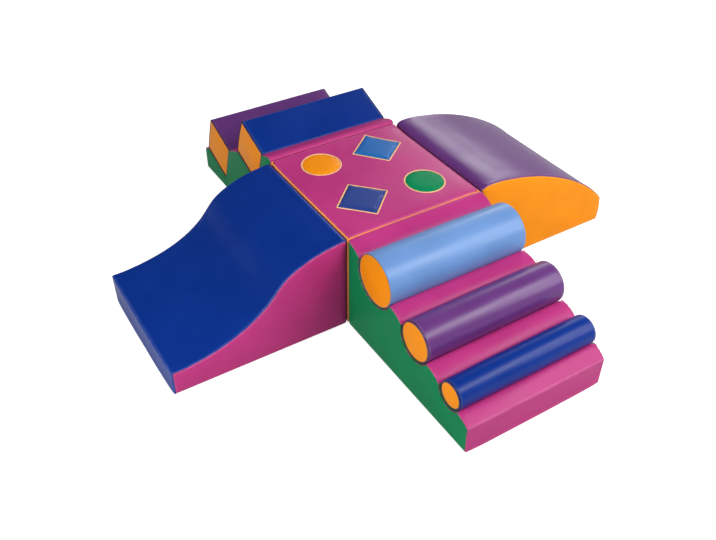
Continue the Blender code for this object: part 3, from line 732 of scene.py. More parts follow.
def makeTopCover(arm):
    facts = arms[arm]
    turn, seed = math.radians(facts["turn"]), facts["seed"]
    points, half = stuffedOutline(arm, turn)
    line = fairLine(points[1:], cover["step"])
    along = np.concatenate([[0], np.cumsum([(b - a).length for a, b in zip(line, line[1:])])])
    stations = stationsAcross(half)
    obj = newLine(nameOf(arm) + "Top", [(p.x, stations[0][0], p.y) for p in line])
    rows = obj.data.attributes.new("row", "INT", "POINT")
    rows.data.foreach_set("value", range(len(line)))
    extrude(obj, [y for y, _ in stations], 1)

    count = len(obj.data.vertices)
    row = np.empty(count, int)
    obj.data.attributes["row"].data.foreach_get("value", row)
    co, reach = places(obj), along[row]
    drop = lookUp({round(y, 6): drop for y, drop in stations}, co[:, 1])
    fromSide, foot = half - abs(co[:, 1]), along[-1] - reach
    free = np.ones(count)
    if "room" in facts:
        free = fade(facts["room"](turned(co, Matrix.Rotation(turn, 3, "Z"))), 1 * mm, facts["free"])
    nearEdge, full = cover["crownShares"]
    across = nearEdge * rising(fromSide, facts["edge"]) + full * (1 - (co[:, 1] / half) ** 2)
    crown = facts["crown"] * crownAlong(arm, along)[row] * across
    swell = waves(co, cover["swellSize"], cover["swellDepth"], seed) * rising(fromSide, cover["slackWidth"])
    pleat = np.array([noise.noise(Vector((r / cover["gatherSize"], seed * 5, np.sign(y))))
                      for r, y in zip(reach, co[:, 1])])
    gather = pleat * cover["gatherDepth"] * np.exp(-abs(fromSide - cover["gatherAt"]) / cover["gatherWidth"])
    tuck = (1 - free) * fade(cover["hem"] - fromSide, 0, cover["hemFade"])
    off = cover["proud"] - drop * (1 - tuck) + (crown + swell + gather) * free
    off -= cover["pressed"] * (1 - free)
    off -= cover["hemTuck"] * tuck
    sides = np.array(sidesOf(line))
    co[:, 0] = np.maximum(co[:, 0] + sides[row, 0] * off, line[0].x)
    co[:, 2] = np.maximum(co[:, 2] + sides[row, 1] * off, line[-1].y)
    co = liftLip(roundBack(co, line[0].x, half, facts["round"]), line[-1].x, half, facts["lift"])
    co[:, 1] *= 1 + facts["wide"] / half
    move(obj, co)
    seam = np.minimum(fromSide + 1.4 * mm, foot + 2 * mm)
    if facts["lipEdge"]:        # painted highlight along the lip's upper edge, drawn as pale rubbed vinyl
        edgeAt = along[np.argmin([(p - Vector(facts["lipEdge"]) * mm).length for p in line])]
        seam = np.minimum(seam, abs(reach - edgeAt) + vinylFinish["seamWidth"])
    setSeam(obj, seam)

    obj.rotation_euler = (0, 0, turn)
    applyPlace(obj)
    ends = np.minimum(foot, reach) < cover["heldEnd"]
    inflate(obj, cover["cap"], (fromSide < cover["heldEdge"]) | ends | (free < 0.9))
    if facing(obj, 2) < 0:
        flip(obj)
    soften(obj)
    thicken(obj)
    if arm == "steps":
        settle(obj)
    smooth(obj)
    obj.data.materials.append(vinyl[facts["top"]])
    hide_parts(f"{arm}_top_cover", f"{arm}_core")
    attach(obj, arm)
    return obj


def makeSideCover(arm):
    facts = arms[arm]
    turn = math.radians(facts["turn"])
    points, half = stuffedOutline(arm, turn)
    ring = fairLine([*points, points[0]], cover["ringStep"])[:-1]
    thick = cover["slab"]
    obj = newMesh(nameOf(arm) + "Sides", [(p.x, half, p.y) for p in ring], faces=[range(len(ring))])
    edit(obj)
    bpy.ops.mesh.extrude_region_move(TRANSFORM_OT_translate={"value": (0, -thick, 0)})
    selectAll()
    bpy.ops.mesh.duplicate_move(TRANSFORM_OT_translate={"value": (0, thick - 2 * half, 0)})
    back, foot, top = points[0].x, points[0].y, points[1].y
    bpy.ops.mesh.primitive_cube_add(size=1, location=(back + thick / 2, 0, (foot + top) / 2),
                                    scale=(thick, 2 * half, top - foot))
    done()
    closed(obj)
    remesh(obj, cover["voxel"])

    co = places(obj)
    rim = KDTree(len(ring))
    for i, p in enumerate(ring):
        rim.insert((p.x, p.y, 0), i)
    rim.balance()
    inward = np.array([rim.find((x, z, 0))[2] for x, _, z in co])
    outer = abs(co[:, 1]) > half - 2 * mm
    swell = waves(co, cover["swellSize"], cover["swellDepth"], facts["seed"] + 10)
    fromBack = fade(co[:, 0] - back, *cover["backFade"])
    puff = cover["sidePuff"] * rising(np.maximum(inward - 2 * mm, 0), cover["puffWidth"]) * fromBack
    puff += swell * rising(inward, cover["sideSwellWidth"]) * fromBack + cover["sideProud"]
    co[:, 1] += np.where(outer, np.sign(co[:, 1]) * puff, 0)
    co = roundBack(co, back, half, facts["round"])
    co = liftLip(co, points[-1].x, half, facts["lift"])
    across = abs(co[:, 1])
    co[:, 1] *= 1 + facts["wide"] / half
    move(obj, co)
    setSeam(obj, np.where(outer, np.maximum(inward - 1 * mm, 0), inward + half - across))
    obj.rotation_euler = (0, 0, turn)
    applyPlace(obj)
    if arm == "steps":
        settle(obj)
    smooth(obj, 60)
    obj.data.materials.append(vinyl[facts["side"]])
    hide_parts(f"{arm}_side_cover")
    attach(obj, arm)
    return obj


for arm in arms:
    top, sides = makeTopCover(arm), makeSideCover(arm)
    print(arm, "covers:", len(top.data.polygons), "and", len(sides.data.polygons), "faces")


# The centre block: crowned top, plain sides, piping round the top and down the corners

block = {
    "half": 293.6 * mm,
    "corner": 11 * mm,
    "hem": 396 * mm,            # where the top panel meets the piping
    "rise": 8.6 * mm,
    "riseWidth": 6 * mm,
    "crown": 4 * mm,
    "ridge": 9 * mm,            # the real block's far edge stands up by this much, and more at its middle
    "ridgeBow": 3 * mm,
    "ridgeWidth": 30 * mm,
    "overhang": 3.6 * mm,       # the far edges swell out over their piping
    "overhangWidth": 12 * mm,
    "overhangFrom": (22 * mm, 10 * mm),
    "swell": (140 * mm, 1.2 * mm),
    "swellWidth": 40 * mm,
    "wrinkle": (30 * mm, 0.5 * mm),
    "heldEdge": 14 * mm,
    "seamRoom": 2.2 * mm,
    "farEdge": (270 * mm, 20 * mm),
    "farJointShade": 6 * mm,          # painted shade: the gap at the joint with the prism base is drawn as a dark line
    "farJointShadeSlope": 2.5,
    "sideCorner": 6 * mm,
    "sideStep": 12 * mm,
    "sideRows": 28,
    "sideEnd": 14 * mm,
    "fill": 0.85,
}


def panelStations(half, near=(0, 0.5, 1.4, 2.8, 4.8, 7.4, 10.6, 15, 22, 32), step=16 * mm):
    edge = [n * mm for n in near]
    count = max(2, round((half - edge[-1]) / step))
    inner = list(np.linspace(half - edge[-1], 0, count + 1)[1:])
    left = [-(half - d) for d in edge] + [-y for y in inner]
    return left + [-y for y in reversed(left[:-1])]


def roundedPanel(name, half, corner, stations):
    # a flat panel on the ground plane with rounded corners, and each vertex's distance from its border
    obj = newLine(name, [(x, stations[0], 0) for x in stations])
    extrude(obj, stations, 1)
    closed(obj)
    if facing(obj, 2) < 0:
        flip(obj)
    co = places(obj)
    u = (abs(co[:, 0]) - (half - corner)) / corner
    v = (abs(co[:, 1]) - (half - corner)) / corner
    bent = (u > 0) & (v > 0)
    ru = np.where(bent, u * np.sqrt(np.maximum(0, 1 - v * v / 2)), u)
    rv = np.where(bent, v * np.sqrt(np.maximum(0, 1 - u * u / 2)), v)
    co[:, 0] = np.sign(co[:, 0]) * (half - corner + ru * corner)
    co[:, 1] = np.sign(co[:, 1]) * (half - corner + rv * corner)
    gap = np.where(bent, corner * (1 - np.hypot(ru, rv)), corner * (1 - np.maximum(ru, rv)))
    move(obj, co)
    return obj, np.maximum(gap, 0)


def cornerLift(x, y):
    far = np.exp(-np.maximum(block["half"] - y, 0) / block["ridgeWidth"])
    return (block["ridge"] + block["ridgeBow"] * (1 - (x / block["half"]) ** 2)) * far


def domed(x, y, half):
    # 1 at the middle of a square and 0 at its edges
    return np.maximum((1 - (x / half) ** 2) * (1 - (y / half) ** 2), 0)


def topHeight(x, y, gap=None):
    gap = block["half"] - np.maximum(abs(x), abs(y)) if gap is None else gap
    t = 1 - np.clip(gap / block["riseWidth"], 0, 1)
    rise = block["rise"] * np.sqrt(1 - t * t)
    return block["hem"] + rise + block["crown"] * domed(x, y, block["half"]) + cornerLift(x, y)


def makeBlockTop():
    half, wide = block["half"], block["overhangWidth"]
    obj, gap = roundedPanel("blockTop", half, block["corner"], panelStations(half))
    co = places(obj)
    slack = rising(gap, block["swellWidth"])
    co[:, 2] = topHeight(co[:, 0], co[:, 1], gap) + waves(co, *block["swell"], 31) * slack
    co[:, 2] += waves(co, *block["wrinkle"], 32) * np.exp(-abs(gap - wide) / wide)
    bulge = block["overhang"] * np.sin(math.pi * np.clip(gap / wide, 0, 1) ** 0.6)
    start, length = block["overhangFrom"]
    for axis in (0, 1):
        co[:, axis] += bulge * np.clip((co[:, axis] - half + start) / length, 0, 1)
    move(obj, co)
    inflate(obj, cover["cap"], gap < block["heldEdge"])
    farEdge = fade(co[:, 1], *block["farEdge"])
    # painted shade: along the far edge the cover is drawn dark for a few mm next to the prism base, where the
    # joint's gap lies in shadow
    joint = np.clip((gap - block["farJointShade"]) * block["farJointShadeSlope"], 0, 50 * mm)
    setSeam(obj, (gap + block["seamRoom"]) * (1 - farEdge) + joint * farEdge)
    soften(obj)
    thicken(obj)
    smooth(obj)
    obj.data.materials.append(vinyl["magenta"])
    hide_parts("centre_top_panel", "centre_core")
    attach(obj, "centre")


def roundedSquare(half, corner, step):
    # points round a square with rounded corners, at even steps on its sides
    points = []
    for quarter in range(4):
        turn = Matrix.Rotation(quarter * math.pi / 2, 2)
        for i in range(7):
            t = math.radians(i * 15)
            points.append(turn @ Vector((half - corner + corner * math.cos(t),
                                         half - corner + corner * math.sin(t))))
        count = round(2 * (half - corner) / step)
        for i in range(1, count):
            points.append(turn @ Vector((half - corner - 2 * (half - corner) * i / count, half)))
    return points


def makeBlockSides():
    high, foot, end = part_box("centre_side_cover")[1], cover["foot"], block["sideEnd"]
    ring = roundedSquare(high.x, block["sideCorner"], block["sideStep"])
    # each row's height, and in mm how far the rows at the foot and at the hem are drawn in
    drawn = {foot: 2.4, foot + 0.4 * mm: 1.2, foot + 1.5 * mm: 0.4, foot + 4 * mm: 0}
    drawn.update({z: 0 for z in np.linspace(foot + end, high.z - end, block["sideRows"])})
    drawn.update({high.z - 5 * mm: 0, high.z - 1.5 * mm: 0.6, high.z - 0.3 * mm: 2.6})
    obj = newLine("blockSides", [(p.x, p.y, foot) for p in ring], loop=True)
    extrude(obj, list(drawn), 2)
    closed(obj)
    co = places(obj)
    pull = lookUp(drawn, co[:, 2]) * mm
    inside = fade(np.minimum(co[:, 2] - foot, high.z - co[:, 2]), 0, 30 * mm)
    pull += (0.5 * mm + waves(co, cover["swellSize"], 0.5 * mm, 40)) * inside
    co[:, :2] *= (1 - pull / high.x)[:, None]
    move(obj, co)
    side = high.x - np.minimum(abs(co[:, 0]), abs(co[:, 1]))
    setSeam(obj, np.minimum.reduce([high.z - co[:, 2], co[:, 2] - foot + 1.5 * mm, side]))
    thicken(obj)
    smooth(obj)
    obj.data.materials.append(vinyl["magenta"])
    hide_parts("centre_side_cover")
    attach(obj, "centre")


def tube(name, points, radius, loop=True):
    # a round welt along a line of points
    only(newLine(name, points, loop))
    bpy.ops.object.convert(target="CURVE")
    line = bpy.context.active_object.data
    line.bevel_depth = radius
    line.bevel_resolution = 3
    line.use_fill_caps = not loop
    bpy.ops.object.convert(target="MESH")
    obj = named(name)
    weld(obj, 0.01 * mm)
    closed(obj)
    return obj


piping = {
    "radius": 4 * mm,
    "bend": 5 * mm,
    "half": 297.4 * mm,
    "step": 8 * mm,
    "post": 297.6 * mm,
    "postRadius": 5.5 * mm,
    "postFoot": 4 * mm,
    "postRows": 40,
    "level": 397.8 * mm,
    "sink": 3.4 * mm,           # along the hump and the prism base the covers hide the piping
    "sinkFrom": (270 * mm, 22 * mm),
    # painted shade: the corner posts are drawn darker, where they stand in the shadow between the arms
    "postShade": 1.4 * mm,
    "openSeam": 50 * mm,
}


def makePiping():
    level, post = piping["level"], piping["post"]
    ring = []
    for p in roundedSquare(piping["half"], piping["bend"], piping["step"]):
        hidden = float(fade(max(p.x, p.y), *piping["sinkFrom"]))
        ring.append((p.x, p.y, level + float(cornerLift(p.x, p.y)) - piping["sink"] * hidden))
    rises = np.linspace(piping["postFoot"], level - 2 * mm, piping["postRows"])
    parts = [tube("blockPiping", ring, piping["radius"])]
    for sx in (-1, 1):
        for sy in (-1, 1):
            rise = [(sx * post, sy * post, z) for z in rises]
            parts.append(tube("post", rise, piping["postRadius"], loop=False))
    only(parts[0])
    for part in parts:
        part.select_set(True)
    bpy.ops.object.join()
    obj = named("blockPiping")
    # the corner posts get painted shade, the piping round the top none
    setSeam(obj, np.where(places(obj)[:, 2] < level - 8 * mm, piping["postShade"], piping["openSeam"]))
    smooth(obj)
    obj.data.materials.append(vinyl["piping"])
    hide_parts("centre_piping")
    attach(obj, "centre")


makeBlockTop()
makeBlockSides()
makePiping()
print("centre block ready")


# Flat pads sewn on the block's top: a stuffed disc or square with a pale welt round it

# each pad's middle and width in mm; a square also has its turn in degrees
pads = {
    "orangeDisc": {"node": "orange_disc_pad", "at": (-136.8, 173.4), "width": 165, "turn": None,
                   "vinyl": "orange", "slot": "orange_vinyl"},
    "greenDisc": {"node": "green_disc_pad", "at": (148.2, -142.2), "width": 165, "turn": None,
                  "vinyl": "greenPad", "slot": "green_vinyl"},
    "lightBlueSquare": {"node": "light_blue_square_pad", "at": (124.2, 164.4), "width": 163, "turn": 39,
                        "vinyl": "midBlue", "slot": "mid_blue_vinyl"},
    "darkBlueSquare": {"node": "dark_blue_square_pad", "at": (-126.0, -120.0), "width": 163, "turn": 43,
                       "vinyl": "inkBlue", "slot": "blue_vinyl"},
}
padShape = {
    "thick": 5 * mm,
    "bevel": 1.6 * mm,
    "voxel": 4 * mm,
    "quickVoxel": 5 * mm,
    "cap": 4.5 * mm,
    "rise": 0.35,               # share of its thickness that a pad is raised by
    "welt": 3.2 * mm,
    "weltFlat": 0.75,
    "corner": 3.4 * mm,
    "step": 6 * mm,
    "fill": 0.7,
}


def makePad(name, facts):
    half = facts["width"] / 2 * mm - padShape["welt"] * 1.6
    thick, isDisc = padShape["thick"], facts["turn"] is None
    spin = Matrix.Rotation(math.radians(facts["turn"] or 0), 3, "Z")
    middle = np.array([*facts["at"], 0]) * mm

    def fromBorder(co):
        return half - (np.hypot(co[:, 0], co[:, 1]) if isDisc else np.maximum(abs(co[:, 0]), abs(co[:, 1])))

    bpy.ops.object.select_all(action="DESELECT")
    if isDisc:
        bpy.ops.mesh.primitive_cylinder_add(vertices=96, radius=half, depth=thick, location=(0, 0, 0))
    else:
        bpy.ops.mesh.primitive_cube_add(size=1, location=(0, 0, 0), scale=(2 * half, 2 * half, thick))
    obj = named(name + "Pad")
    applyPlace(obj)
    edit(obj)
    bpy.ops.mesh.select_mode(type="EDGE")
    bpy.ops.mesh.select_all(action="DESELECT")
    bm = bmesh.from_edit_mesh(obj.data)
    for edge in bm.edges:
        first, second = edge.verts
        edge.select_set(abs(first.co.z - second.co.z) < 0.1 * mm)
    bmesh.update_edit_mesh(obj.data)
    bpy.ops.mesh.bevel(offset=padShape["bevel"], segments=2, affect="EDGES")
    done()
    remesh(obj, padShape["voxel"])
    co = places(obj)
    inflate(obj, padShape["cap"], co[:, 2] < -thick * 0.3)
    soften(obj)
    applyAll(obj)
    co = places(obj)
    setSeam(obj, np.maximum(fromBorder(co), 0))
    co = turned(co, spin) + middle
    co[:, 2] += topHeight(co[:, 0], co[:, 1]) + thick * padShape["rise"]
    move(obj, co)
    smooth(obj)
    obj.data.materials.append(vinyl[facts["vinyl"]])
    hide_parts(facts["node"])
    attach(obj, "centre")

    reach = half + padShape["welt"] * 0.6
    ring = roundedSquare(reach, padShape["corner"], padShape["step"])
    if isDisc:
        turns = np.linspace(0, 2 * math.pi, 121)[:-1]
        ring = [Vector((reach * math.cos(t), reach * math.sin(t))) for t in turns]
    welt = tube(name + "Welt", [(p.x, p.y, 0) for p in ring], padShape["welt"])
    co = turned(places(welt), spin) + middle
    co[:, 2] = co[:, 2] * padShape["weltFlat"] + topHeight(co[:, 0], co[:, 1]) + padShape["welt"] * 0.55
    move(welt, co)
    setSeam(welt, np.full(len(co), piping["openSeam"]))
    smooth(welt)
    welt.data.materials.append(vinyl["welt"])
    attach(welt, "centre")


for name, facts in pads.items():
    makePad(name, facts)
print("pads ready")


# The three rollers: a sleeve that rolls over its ends onto a domed disc

rollerShape = {
    "steps": 112,
    "rings": 34,
    "bulge": 1.2 * mm,
    "dome": 5 * mm,
    "tuck": 6 * mm,
    "waveSize": 90 * mm,
    "waveDepth": 0.7 * mm,
    "slackWidth": 30 * mm,
    "endWaveSize": 45 * mm,
    "endSlackWidth": 12 * mm,
    "fill": 0.8,
}
# rim is how far the sleeve rolls over the end, and short how much less the far end reaches; hem is how far in
# from each end the sleeve is drawn dark, a painted shade over its rolled rim
rollerLooks = {
    "large": {"vinyl": "sky", "slot": "light_blue_vinyl", "rim": 3.2 * mm, "roll": 7 * mm, "short": 0,
              "hem": 0, "settled": 0},
    "medium": {"vinyl": "purple", "slot": "purple_vinyl", "rim": 6.5 * mm, "roll": 8 * mm, "short": 4 * mm,
               "hem": 4 * mm, "settled": 1},
    "small": {"vinyl": "blue", "slot": "blue_vinyl", "rim": 7.5 * mm, "roll": 8 * mm, "short": 9 * mm,
              "hem": 4 * mm, "settled": 1},
}


def lathe(name, profile, middle):
    # a profile of (place along the axis, radius) spun round the roller's axis
    obj = newLine(name, [(middle.x + u, middle.y, middle.z + v) for u, v in profile], loop=True)
    edit(obj)
    bpy.ops.mesh.spin(steps=rollerShape["steps"], angle=2 * math.pi, center=middle, axis=(1, 0, 0))
    done()
    weld(obj, 0.02 * mm)
    closed(obj)
    return obj


def makeRoller(size):
    facts, looks = rollers[size], rollerLooks[size]
    middle, radius = facts["middle"], facts["radius"]
    rim, roll = looks["rim"], looks["roll"]
    ends = {-1: facts["length"] / 2, 1: facts["length"] / 2 - looks["short"]}
    outer = []
    for side in (-1, 1):
        arc = [(ends[side] - roll + roll * math.sin(t), radius - rim + rim * math.cos(t))
               for t in np.radians(np.linspace(0, 90, 9))]
        arc += [(ends[side] - 2.2 * mm, radius - rim - 0.8 * mm),
                (ends[side] - rollerShape["tuck"], radius - rim - 1.5 * mm)]
        outer.append([(side * u, v) for u, v in arc])
    left, right = outer
    rings = np.linspace(left[0][0], right[0][0], rollerShape["rings"])[1:-1]
    body = [(u, radius + rollerShape["bulge"] * (1 - (2 * u / facts["length"]) ** 2)) for u in rings]
    sleeve = lathe(f"{size}RollerSleeve", left[::-1] + body + right, middle)
    co = places(sleeve)
    along = co[:, 0] - middle.x
    away = co - np.array([0, middle.y, middle.z])
    away[:, 0] = 0
    spread = np.hypot(away[:, 1], away[:, 2])
    fromEnd = np.maximum(np.minimum(along + ends[-1], ends[1] - along), 0)
    swell = waves(co, rollerShape["waveSize"], rollerShape["waveDepth"], radius * 1000)
    swell *= rising(fromEnd, rollerShape["slackWidth"])
    co += away / np.maximum(spread, 1e-6)[:, None] * (swell * (spread > radius - 1 * mm))[:, None]
    move(sleeve, co)
    # painted shade: the sleeve is drawn dark over its rolled rim, within hem of each end
    setSeam(sleeve, np.maximum(fromEnd - looks["hem"], 0))
    settle(sleeve, looks["settled"])
    smooth(sleeve)
    sleeve.data.materials.append(vinyl[looks["vinyl"]])
    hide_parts(f"{size}_roller_sleeve", f"{size}_roller_core")
    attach(sleeve, f"{size}_roller")

    for side, word in ((-1, "Near"), (1, "Far")):
        border, face = radius - rim - 0.2 * mm, ends[side] - 1.2 * mm
        dome = [(face + rollerShape["dome"] * (1 - (v / border) ** 2) ** 1.3, v)
                for v in np.linspace(0, border, 26)[:-1]]
        dome += [(face - 0.3 * mm, border - 0.1 * mm), (face - 1.2 * mm, border + 0.3 * mm),
                 (face - 4 * mm, border)]
        dome += [(face - 5 * mm, border * share) for share in (0.8, 0.4, 0)]
        disc = lathe(f"{size}Roller{word}End", [(side * u, v) for u, v in dome], middle)
        co = places(disc)
        gap = np.maximum(border - np.hypot(co[:, 1] - middle.y, co[:, 2] - middle.z), 0)
        front = (co[:, 0] - middle.x) * side > face - 2 * mm
        swell = waves(co, rollerShape["endWaveSize"], rollerShape["waveDepth"], radius * 900)
        co[:, 0] += side * swell * front * rising(gap, rollerShape["endSlackWidth"])
        move(disc, co)
        setSeam(disc, gap)
        settle(disc, looks["settled"])
        smooth(disc)
        disc.data.materials.append(vinyl["orange"])
        low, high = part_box(f"{size}_roller_left_end")
        isLeft = ((low.x + high.x) / 2 - middle.x) * side > 0
        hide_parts(f"{size}_roller_{'left' if isLeft else 'right'}_end")
        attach(disc, f"{size}_roller")


for size in rollers:
    makeRoller(size)
print("rollers ready")


# The two prisms: a square sleeve on its edge, with a stuffed square at each end

prismShape = {
    "corner": 4.5 * mm,
    "step": 11 * mm,
    "rows": 52,
    "roll": 3 * mm,
    "edge": ((0, 0.9), (0.25, 0.35), (0.6, 0.08), (1, 0), (1.7, 0)),    # in and down, in shares of the roll
    "rim": 3.2 * mm,
    "cap": 6 * mm,
    "quickSlack": 60 * mm,
    "waveSize": 100 * mm,
    "waveDepth": 0.8 * mm,
    "slack": 50 * mm,
    "endSeam": 5 * mm,
    "endInset": 4.2 * mm,
    "endRise": 3.6 * mm,
    "endRiseWidth": 9 * mm,
    "endStations": (0, 0.5, 1.4, 2.8, 4.8, 7.4, 11, 17),
    "endStep": 12 * mm,
    "endWaveSize": 60 * mm,
    "endSlackWidth": 20 * mm,
    "dome": 6 * mm,
    "fill": 0.85,
}
prismLooks = {
    # the far face swells: millimetres at its tip, middle and lower corner
    "blue": {"vinyl": "blue", "slot": "blue_vinyl", "swell": (1.5, 10, 9.5), "longer": 5 * mm},
    "purple": {"vinyl": "purple", "slot": "purple_vinyl", "swell": (6.5, 8.5, 7), "longer": 8 * mm},
}


def swellFar(across, upward, half, swell):
    # how far a place in the prism's own frame moves toward its far face
    s = np.clip((half - upward) / (2 * half), 0, 1)
    tip, middle, corner = (c * mm for c in swell)
    push = tip * (1 - s) * (1 - 2 * s) + middle * 4 * s * (1 - s) + corner * s * (2 * s - 1)
    return push * np.clip((across / half + 1) / 2, 0, 1) ** 2


def prismFrame(facts):
    # a turned frame: its x along the prism, its y and z across two faces of the square
    up = facts["lift"]
    along = Vector((0, up.z, -up.y))
    first, second = (up + along).normalized(), (up - along).normalized()
    turn = Matrix(((1, 0, 0), first, second)).transposed()
    if turn.determinant() < 0:
        turn = Matrix(((1, 0, 0), second, first)).transposed()
    return turn


def makePrism(tint):
    facts, looks = prisms[tint], prismLooks[tint]
    half, reach, roll = facts["side"] / 2, facts["length"] / 2, prismShape["roll"]
    turn, middle = prismFrame(facts), facts["middle"]
    ring = roundedSquare(half, prismShape["corner"], prismShape["step"])
    edge = [(share * roll, drop * roll) for share, drop in prismShape["edge"]]
    inner = np.linspace(-(reach - edge[-1][0]), reach - edge[-1][0], prismShape["rows"])[1:-1]
    levels = [(-(reach - d), drop) for d, drop in edge] + [(x, 0) for x in inner]
    levels += [(reach - d, drop) for d, drop in reversed(edge)]
    obj = newLine(f"{tint}PrismSleeve", [(levels[0][0], p.x, p.y) for p in ring], loop=True)
    extrude(obj, [x for x, _ in levels], 0)
    closed(obj)
    co = places(obj)
    drop = lookUp({round(x, 6): drop for x, drop in levels}, co[:, 0])
    co[:, 1:] *= (1 - drop / half)[:, None]
    move(obj, co)
    fromEnd = reach - abs(co[:, 0])
    lower = turned(co, turn) @ np.array(facts["lift"]) < 0
    cornerGap = half - np.minimum(abs(co[:, 1]), abs(co[:, 2]))
    held = lower | (fromEnd < roll) | (cornerGap < prismShape["corner"] * 1.2)

    def puffOut(depth, slack):
        # pushes each vertex out of the face that it lies on, less near the ends and the corners
        face = np.where(abs(co[:, 1]) > abs(co[:, 2]), 1, 2)
        every = np.arange(len(co))
        away = np.sign(co[every, face]) * depth
        co[every, face] += away * fade(fromEnd, 0, slack) * fade(cornerGap, 0, slack)

    inflate(obj, prismShape["cap"], held)
    co = places(obj)
    puffOut(waves(co, prismShape["waveSize"], prismShape["waveDepth"], 50) * ~lower, prismShape["slack"])
    # painted shade: the sleeve is drawn dark over its last few mm at each end, in the groove of its seam with
    # the end; along its corners the edges turn pale, rubbed wear and painted highlight on the rounded edges
    setSeam(obj, np.minimum(np.maximum(fromEnd - prismShape["endSeam"], 0),
                            cornerGap * 0.8 + vinylFinish["seamWidth"]))
    co[:, 1] += swellFar(co[:, 1], co[:, 2], half, looks["swell"])
    co[:, 0] += looks["longer"] * (co[:, 0] / reach + 1) / 2
    move(obj, co)
    soften(obj)
    thicken(obj)
    move(obj, turned(places(obj), turn) + np.array(middle))
    smooth(obj)
    obj.data.materials.append(vinyl[looks["vinyl"]])
    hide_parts(f"{tint}_prism_sleeve", f"{tint}_prism_core")
    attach(obj, f"{tint}_prism")

    size = half - prismShape["rim"]
    stations = panelStations(size, prismShape["endStations"], prismShape["endStep"])
    for side, word in ((-1, "Near"), (1, "Far")):
        panel, gap = roundedPanel(f"{tint}Prism{word}End", size, prismShape["corner"], stations)
        co = places(panel)
        t = 1 - np.clip(gap / prismShape["endRiseWidth"], 0, 1)
        out = reach - prismShape["endInset"] + prismShape["endRise"] * np.sqrt(1 - t * t)
        out += prismShape["dome"] * domed(co[:, 0], co[:, 1], size)
        out += (waves(co, prismShape["endWaveSize"], prismShape["waveDepth"], 60 + side)
                * rising(gap, prismShape["endSlackWidth"]))
        across = co[:, 0] + swellFar(co[:, 0], co[:, 1], half, looks["swell"])
        local = np.column_stack([side * out + looks["longer"] * (side > 0), across, co[:, 1]])
        move(panel, turned(local, turn) + np.array(middle))
        setSeam(panel, gap)
        if facing(panel, 0) * side < 0:
            flip(panel)
        thicken(panel)
        smooth(panel)
        panel.data.materials.append(vinyl["orange"])
        low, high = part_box(f"{tint}_prism_left_end")
        isLeft = (low.x + high.x) * side > 0
        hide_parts(f"{tint}_prism_{'left' if isLeft else 'right'}_end")
        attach(panel, f"{tint}_prism")


for tint in prisms:
    makePrism(tint)
print("prisms ready")


# Undersides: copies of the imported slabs, whose border stops inside the side covers

undersideInset = 5 * mm


def makeUnderside(body):
    source = nodes[f"{body}_underside"]
    obj = source.copy()
    obj.data = source.data.copy()
    obj.name = obj.data.name = nameOf(body) + "Underside"
    bpy.context.scene.collection.objects.link(obj)
    weld(obj, 0.02 * mm)
    co = places(obj)
    low, high = co[:, :2].min(0), co[:, :2].max(0)
    co[:, :2] = np.clip(co[:, :2], low + undersideInset, high - undersideInset)
    move(obj, co)
    obj.data.materials.clear()
    obj.data.materials.append(grip)
    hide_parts(f"{body}_underside")
    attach(obj, body)


for body in ("centre", *arms):
    makeUnderside(body)
print("undersides ready")


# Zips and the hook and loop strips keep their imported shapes

for name, obj in nodes.items():
    for ending, finish in (("_zip", zipper), ("_strip", tape)):
        if name.endswith(ending):
            obj.data.materials.clear()
            obj.data.materials.append(finish)
print("packed nodes finished")


# Floor, world, lights and camera

stage = {
    "floorSize": 40,
    "floorLevel": -0.4 * mm,
    "floorColour": "#D0D0D0",
    "floorGlow": 0.8,
    "glossShare": 0.15,         # how much of the floor's glow the satin vinyl mirrors
    "skyStrength": 0.36,
    "skyColour": "#FFFFFF",
    "wallTop": 0,               # sine of the height where the white walls begin to fade
    "ceiling": 0.16,
    "ceilingStrength": 0.05,
}


def makeStage():
    bpy.ops.object.select_all(action="DESELECT")
    bpy.ops.mesh.primitive_plane_add(size=stage["floorSize"], location=(0, 0, stage["floorLevel"]))
    floor = named("floor")
    applyPlace(floor)
    # painted studio floor: matt white, which cameras and glossy surfaces see as white
    material, tree, shader, _ = startMaterial("painted studio floor", 0.9, 0.1)
    shader["Base Color"].default_value = colour(stage["floorColour"])
    rays = addNode(tree, "ShaderNodeLightPath").outputs
    mirrored = maths(tree, "MULTIPLY", rays["Is Glossy Ray"], stage["glossShare"])
    seen = maths(tree, "MAXIMUM", rays["Is Camera Ray"], rays["Is Transmission Ray"])
    both = maths(tree, "MAXIMUM", seen, mirrored)
    shader["Emission Color"].default_value = (1, 1, 1, 1)
    feed(tree, shader["Emission Strength"], maths(tree, "MULTIPLY", both, stage["floorGlow"]))
    floor.data.materials.append(material)
    floor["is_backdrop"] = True

    world = bpy.data.worlds.new("studio")
    bpy.context.scene.world = world
    world.use_nodes = True
    tree = world.node_tree
    backdrop = tree.nodes["Background"].inputs
    backdrop["Color"].default_value = colour(stage["skyColour"])
    rays = addNode(tree, "ShaderNodeLightPath").outputs
    seen = maths(tree, "MAXIMUM", rays["Is Camera Ray"], rays["Is Transmission Ray"])
    # glossy rays see white walls and a dim ceiling, so that only grazing surfaces turn pale
    where = addNode(tree, "ShaderNodeTexCoord").outputs["Generated"]
    height = addNode(tree, "ShaderNodeSeparateXYZ", {"Vector": where}).outputs["Z"]
    wall = ranged(tree, height, (stage["wallTop"], stage["ceiling"]), (1, stage["ceilingStrength"]))
    glossy = addNode(tree, "ShaderNodeMix", {"data_type": "FLOAT"},
                     [(0, rays["Is Glossy Ray"]), (2, stage["skyStrength"]), (3, wall)]).outputs[0]
    level = addNode(tree, "ShaderNodeMix", {"data_type": "FLOAT"}, [(0, seen), (2, glossy), (3, 1)])
    feed(tree, backdrop["Strength"], level.outputs[0])


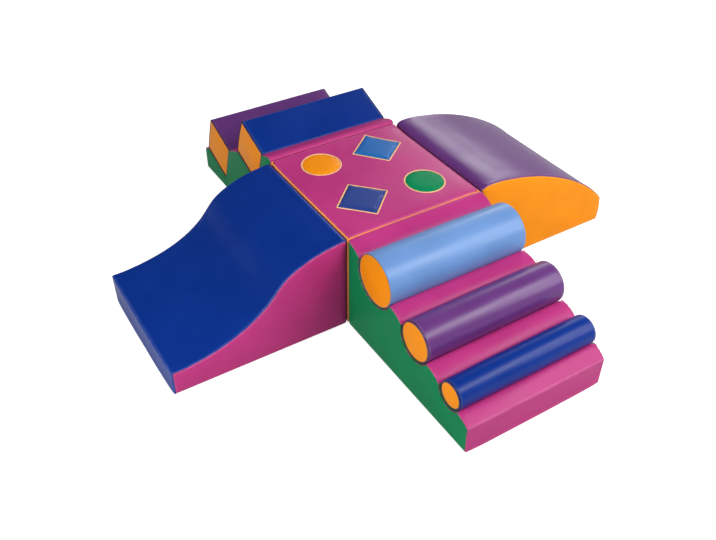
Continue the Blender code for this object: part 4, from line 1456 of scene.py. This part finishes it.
lamps = {
    "front": {"at": (1.45, -2.45, 2.85), "to": (0.1, -0.6, 0.3), "size": (2.4, 1.2), "power": 72},
    "right": {"at": (2.6, -3.2, 1.9), "to": (0.4, -0.3, 0.2), "size": (1.2, 1.2), "power": 35},
    "left": {"at": (-2.7, -0.95, 1.5), "to": (-0.3, -0.5, 0.2), "size": (1.1, 1.1), "power": 38},
    "back": {"at": (3.5, 2.8, 2.4), "to": (0.5, 0, 0.4), "size": (2.2, 1.4), "power": 47},
}


def makeLamps():
    for name, facts in lamps.items():
        data = bpy.data.lights.new(name, "AREA")
        data.shape = "RECTANGLE"
        data.size, data.size_y = facts["size"]
        data.energy = facts["power"]
        lamp = bpy.data.objects.new(name, data)
        bpy.context.scene.collection.objects.link(lamp)
        lamp.location = facts["at"]
        lamp.rotation_euler = (Vector(facts["at"]) - Vector(facts["to"])).to_track_quat("Z", "Y").to_euler()


photo = {
    "width": 716,
    "focalPixels": 825.74,
    "eye": (-1.5236, -2.3134, 2.1837),
    "yaw": 0.5616,
    "pitch": 0.6846,
    "roll": 0.0065,
    "sensor": 36,
}


def makeCamera():
    yaw, pitch, roll = photo["yaw"], photo["pitch"], photo["roll"]
    ahead = Vector((math.sin(yaw) * math.cos(pitch), math.cos(yaw) * math.cos(pitch), -math.sin(pitch)))
    right = Vector((math.cos(yaw), -math.sin(yaw), 0))
    up = right.cross(ahead)
    right, up = right * math.cos(roll) + up * math.sin(roll), up * math.cos(roll) - right * math.sin(roll)
    data = bpy.data.cameras.new("camera")
    data.sensor_fit = "HORIZONTAL"
    data.sensor_width = photo["sensor"]
    data.lens = photo["focalPixels"] / photo["width"] * photo["sensor"]
    camera = bpy.data.objects.new("camera", data)
    bpy.context.scene.collection.objects.link(camera)
    camera.matrix_world = Matrix.Translation(photo["eye"]) @ Matrix((right, up, -ahead)).transposed().to_4x4()
    bpy.context.scene.camera = camera


makeStage()
makeLamps()
makeCamera()
bpy.context.scene.view_settings.view_transform = "Standard"

low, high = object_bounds()
print("visual box", [round(c, 4) for c in (*low, *high)])
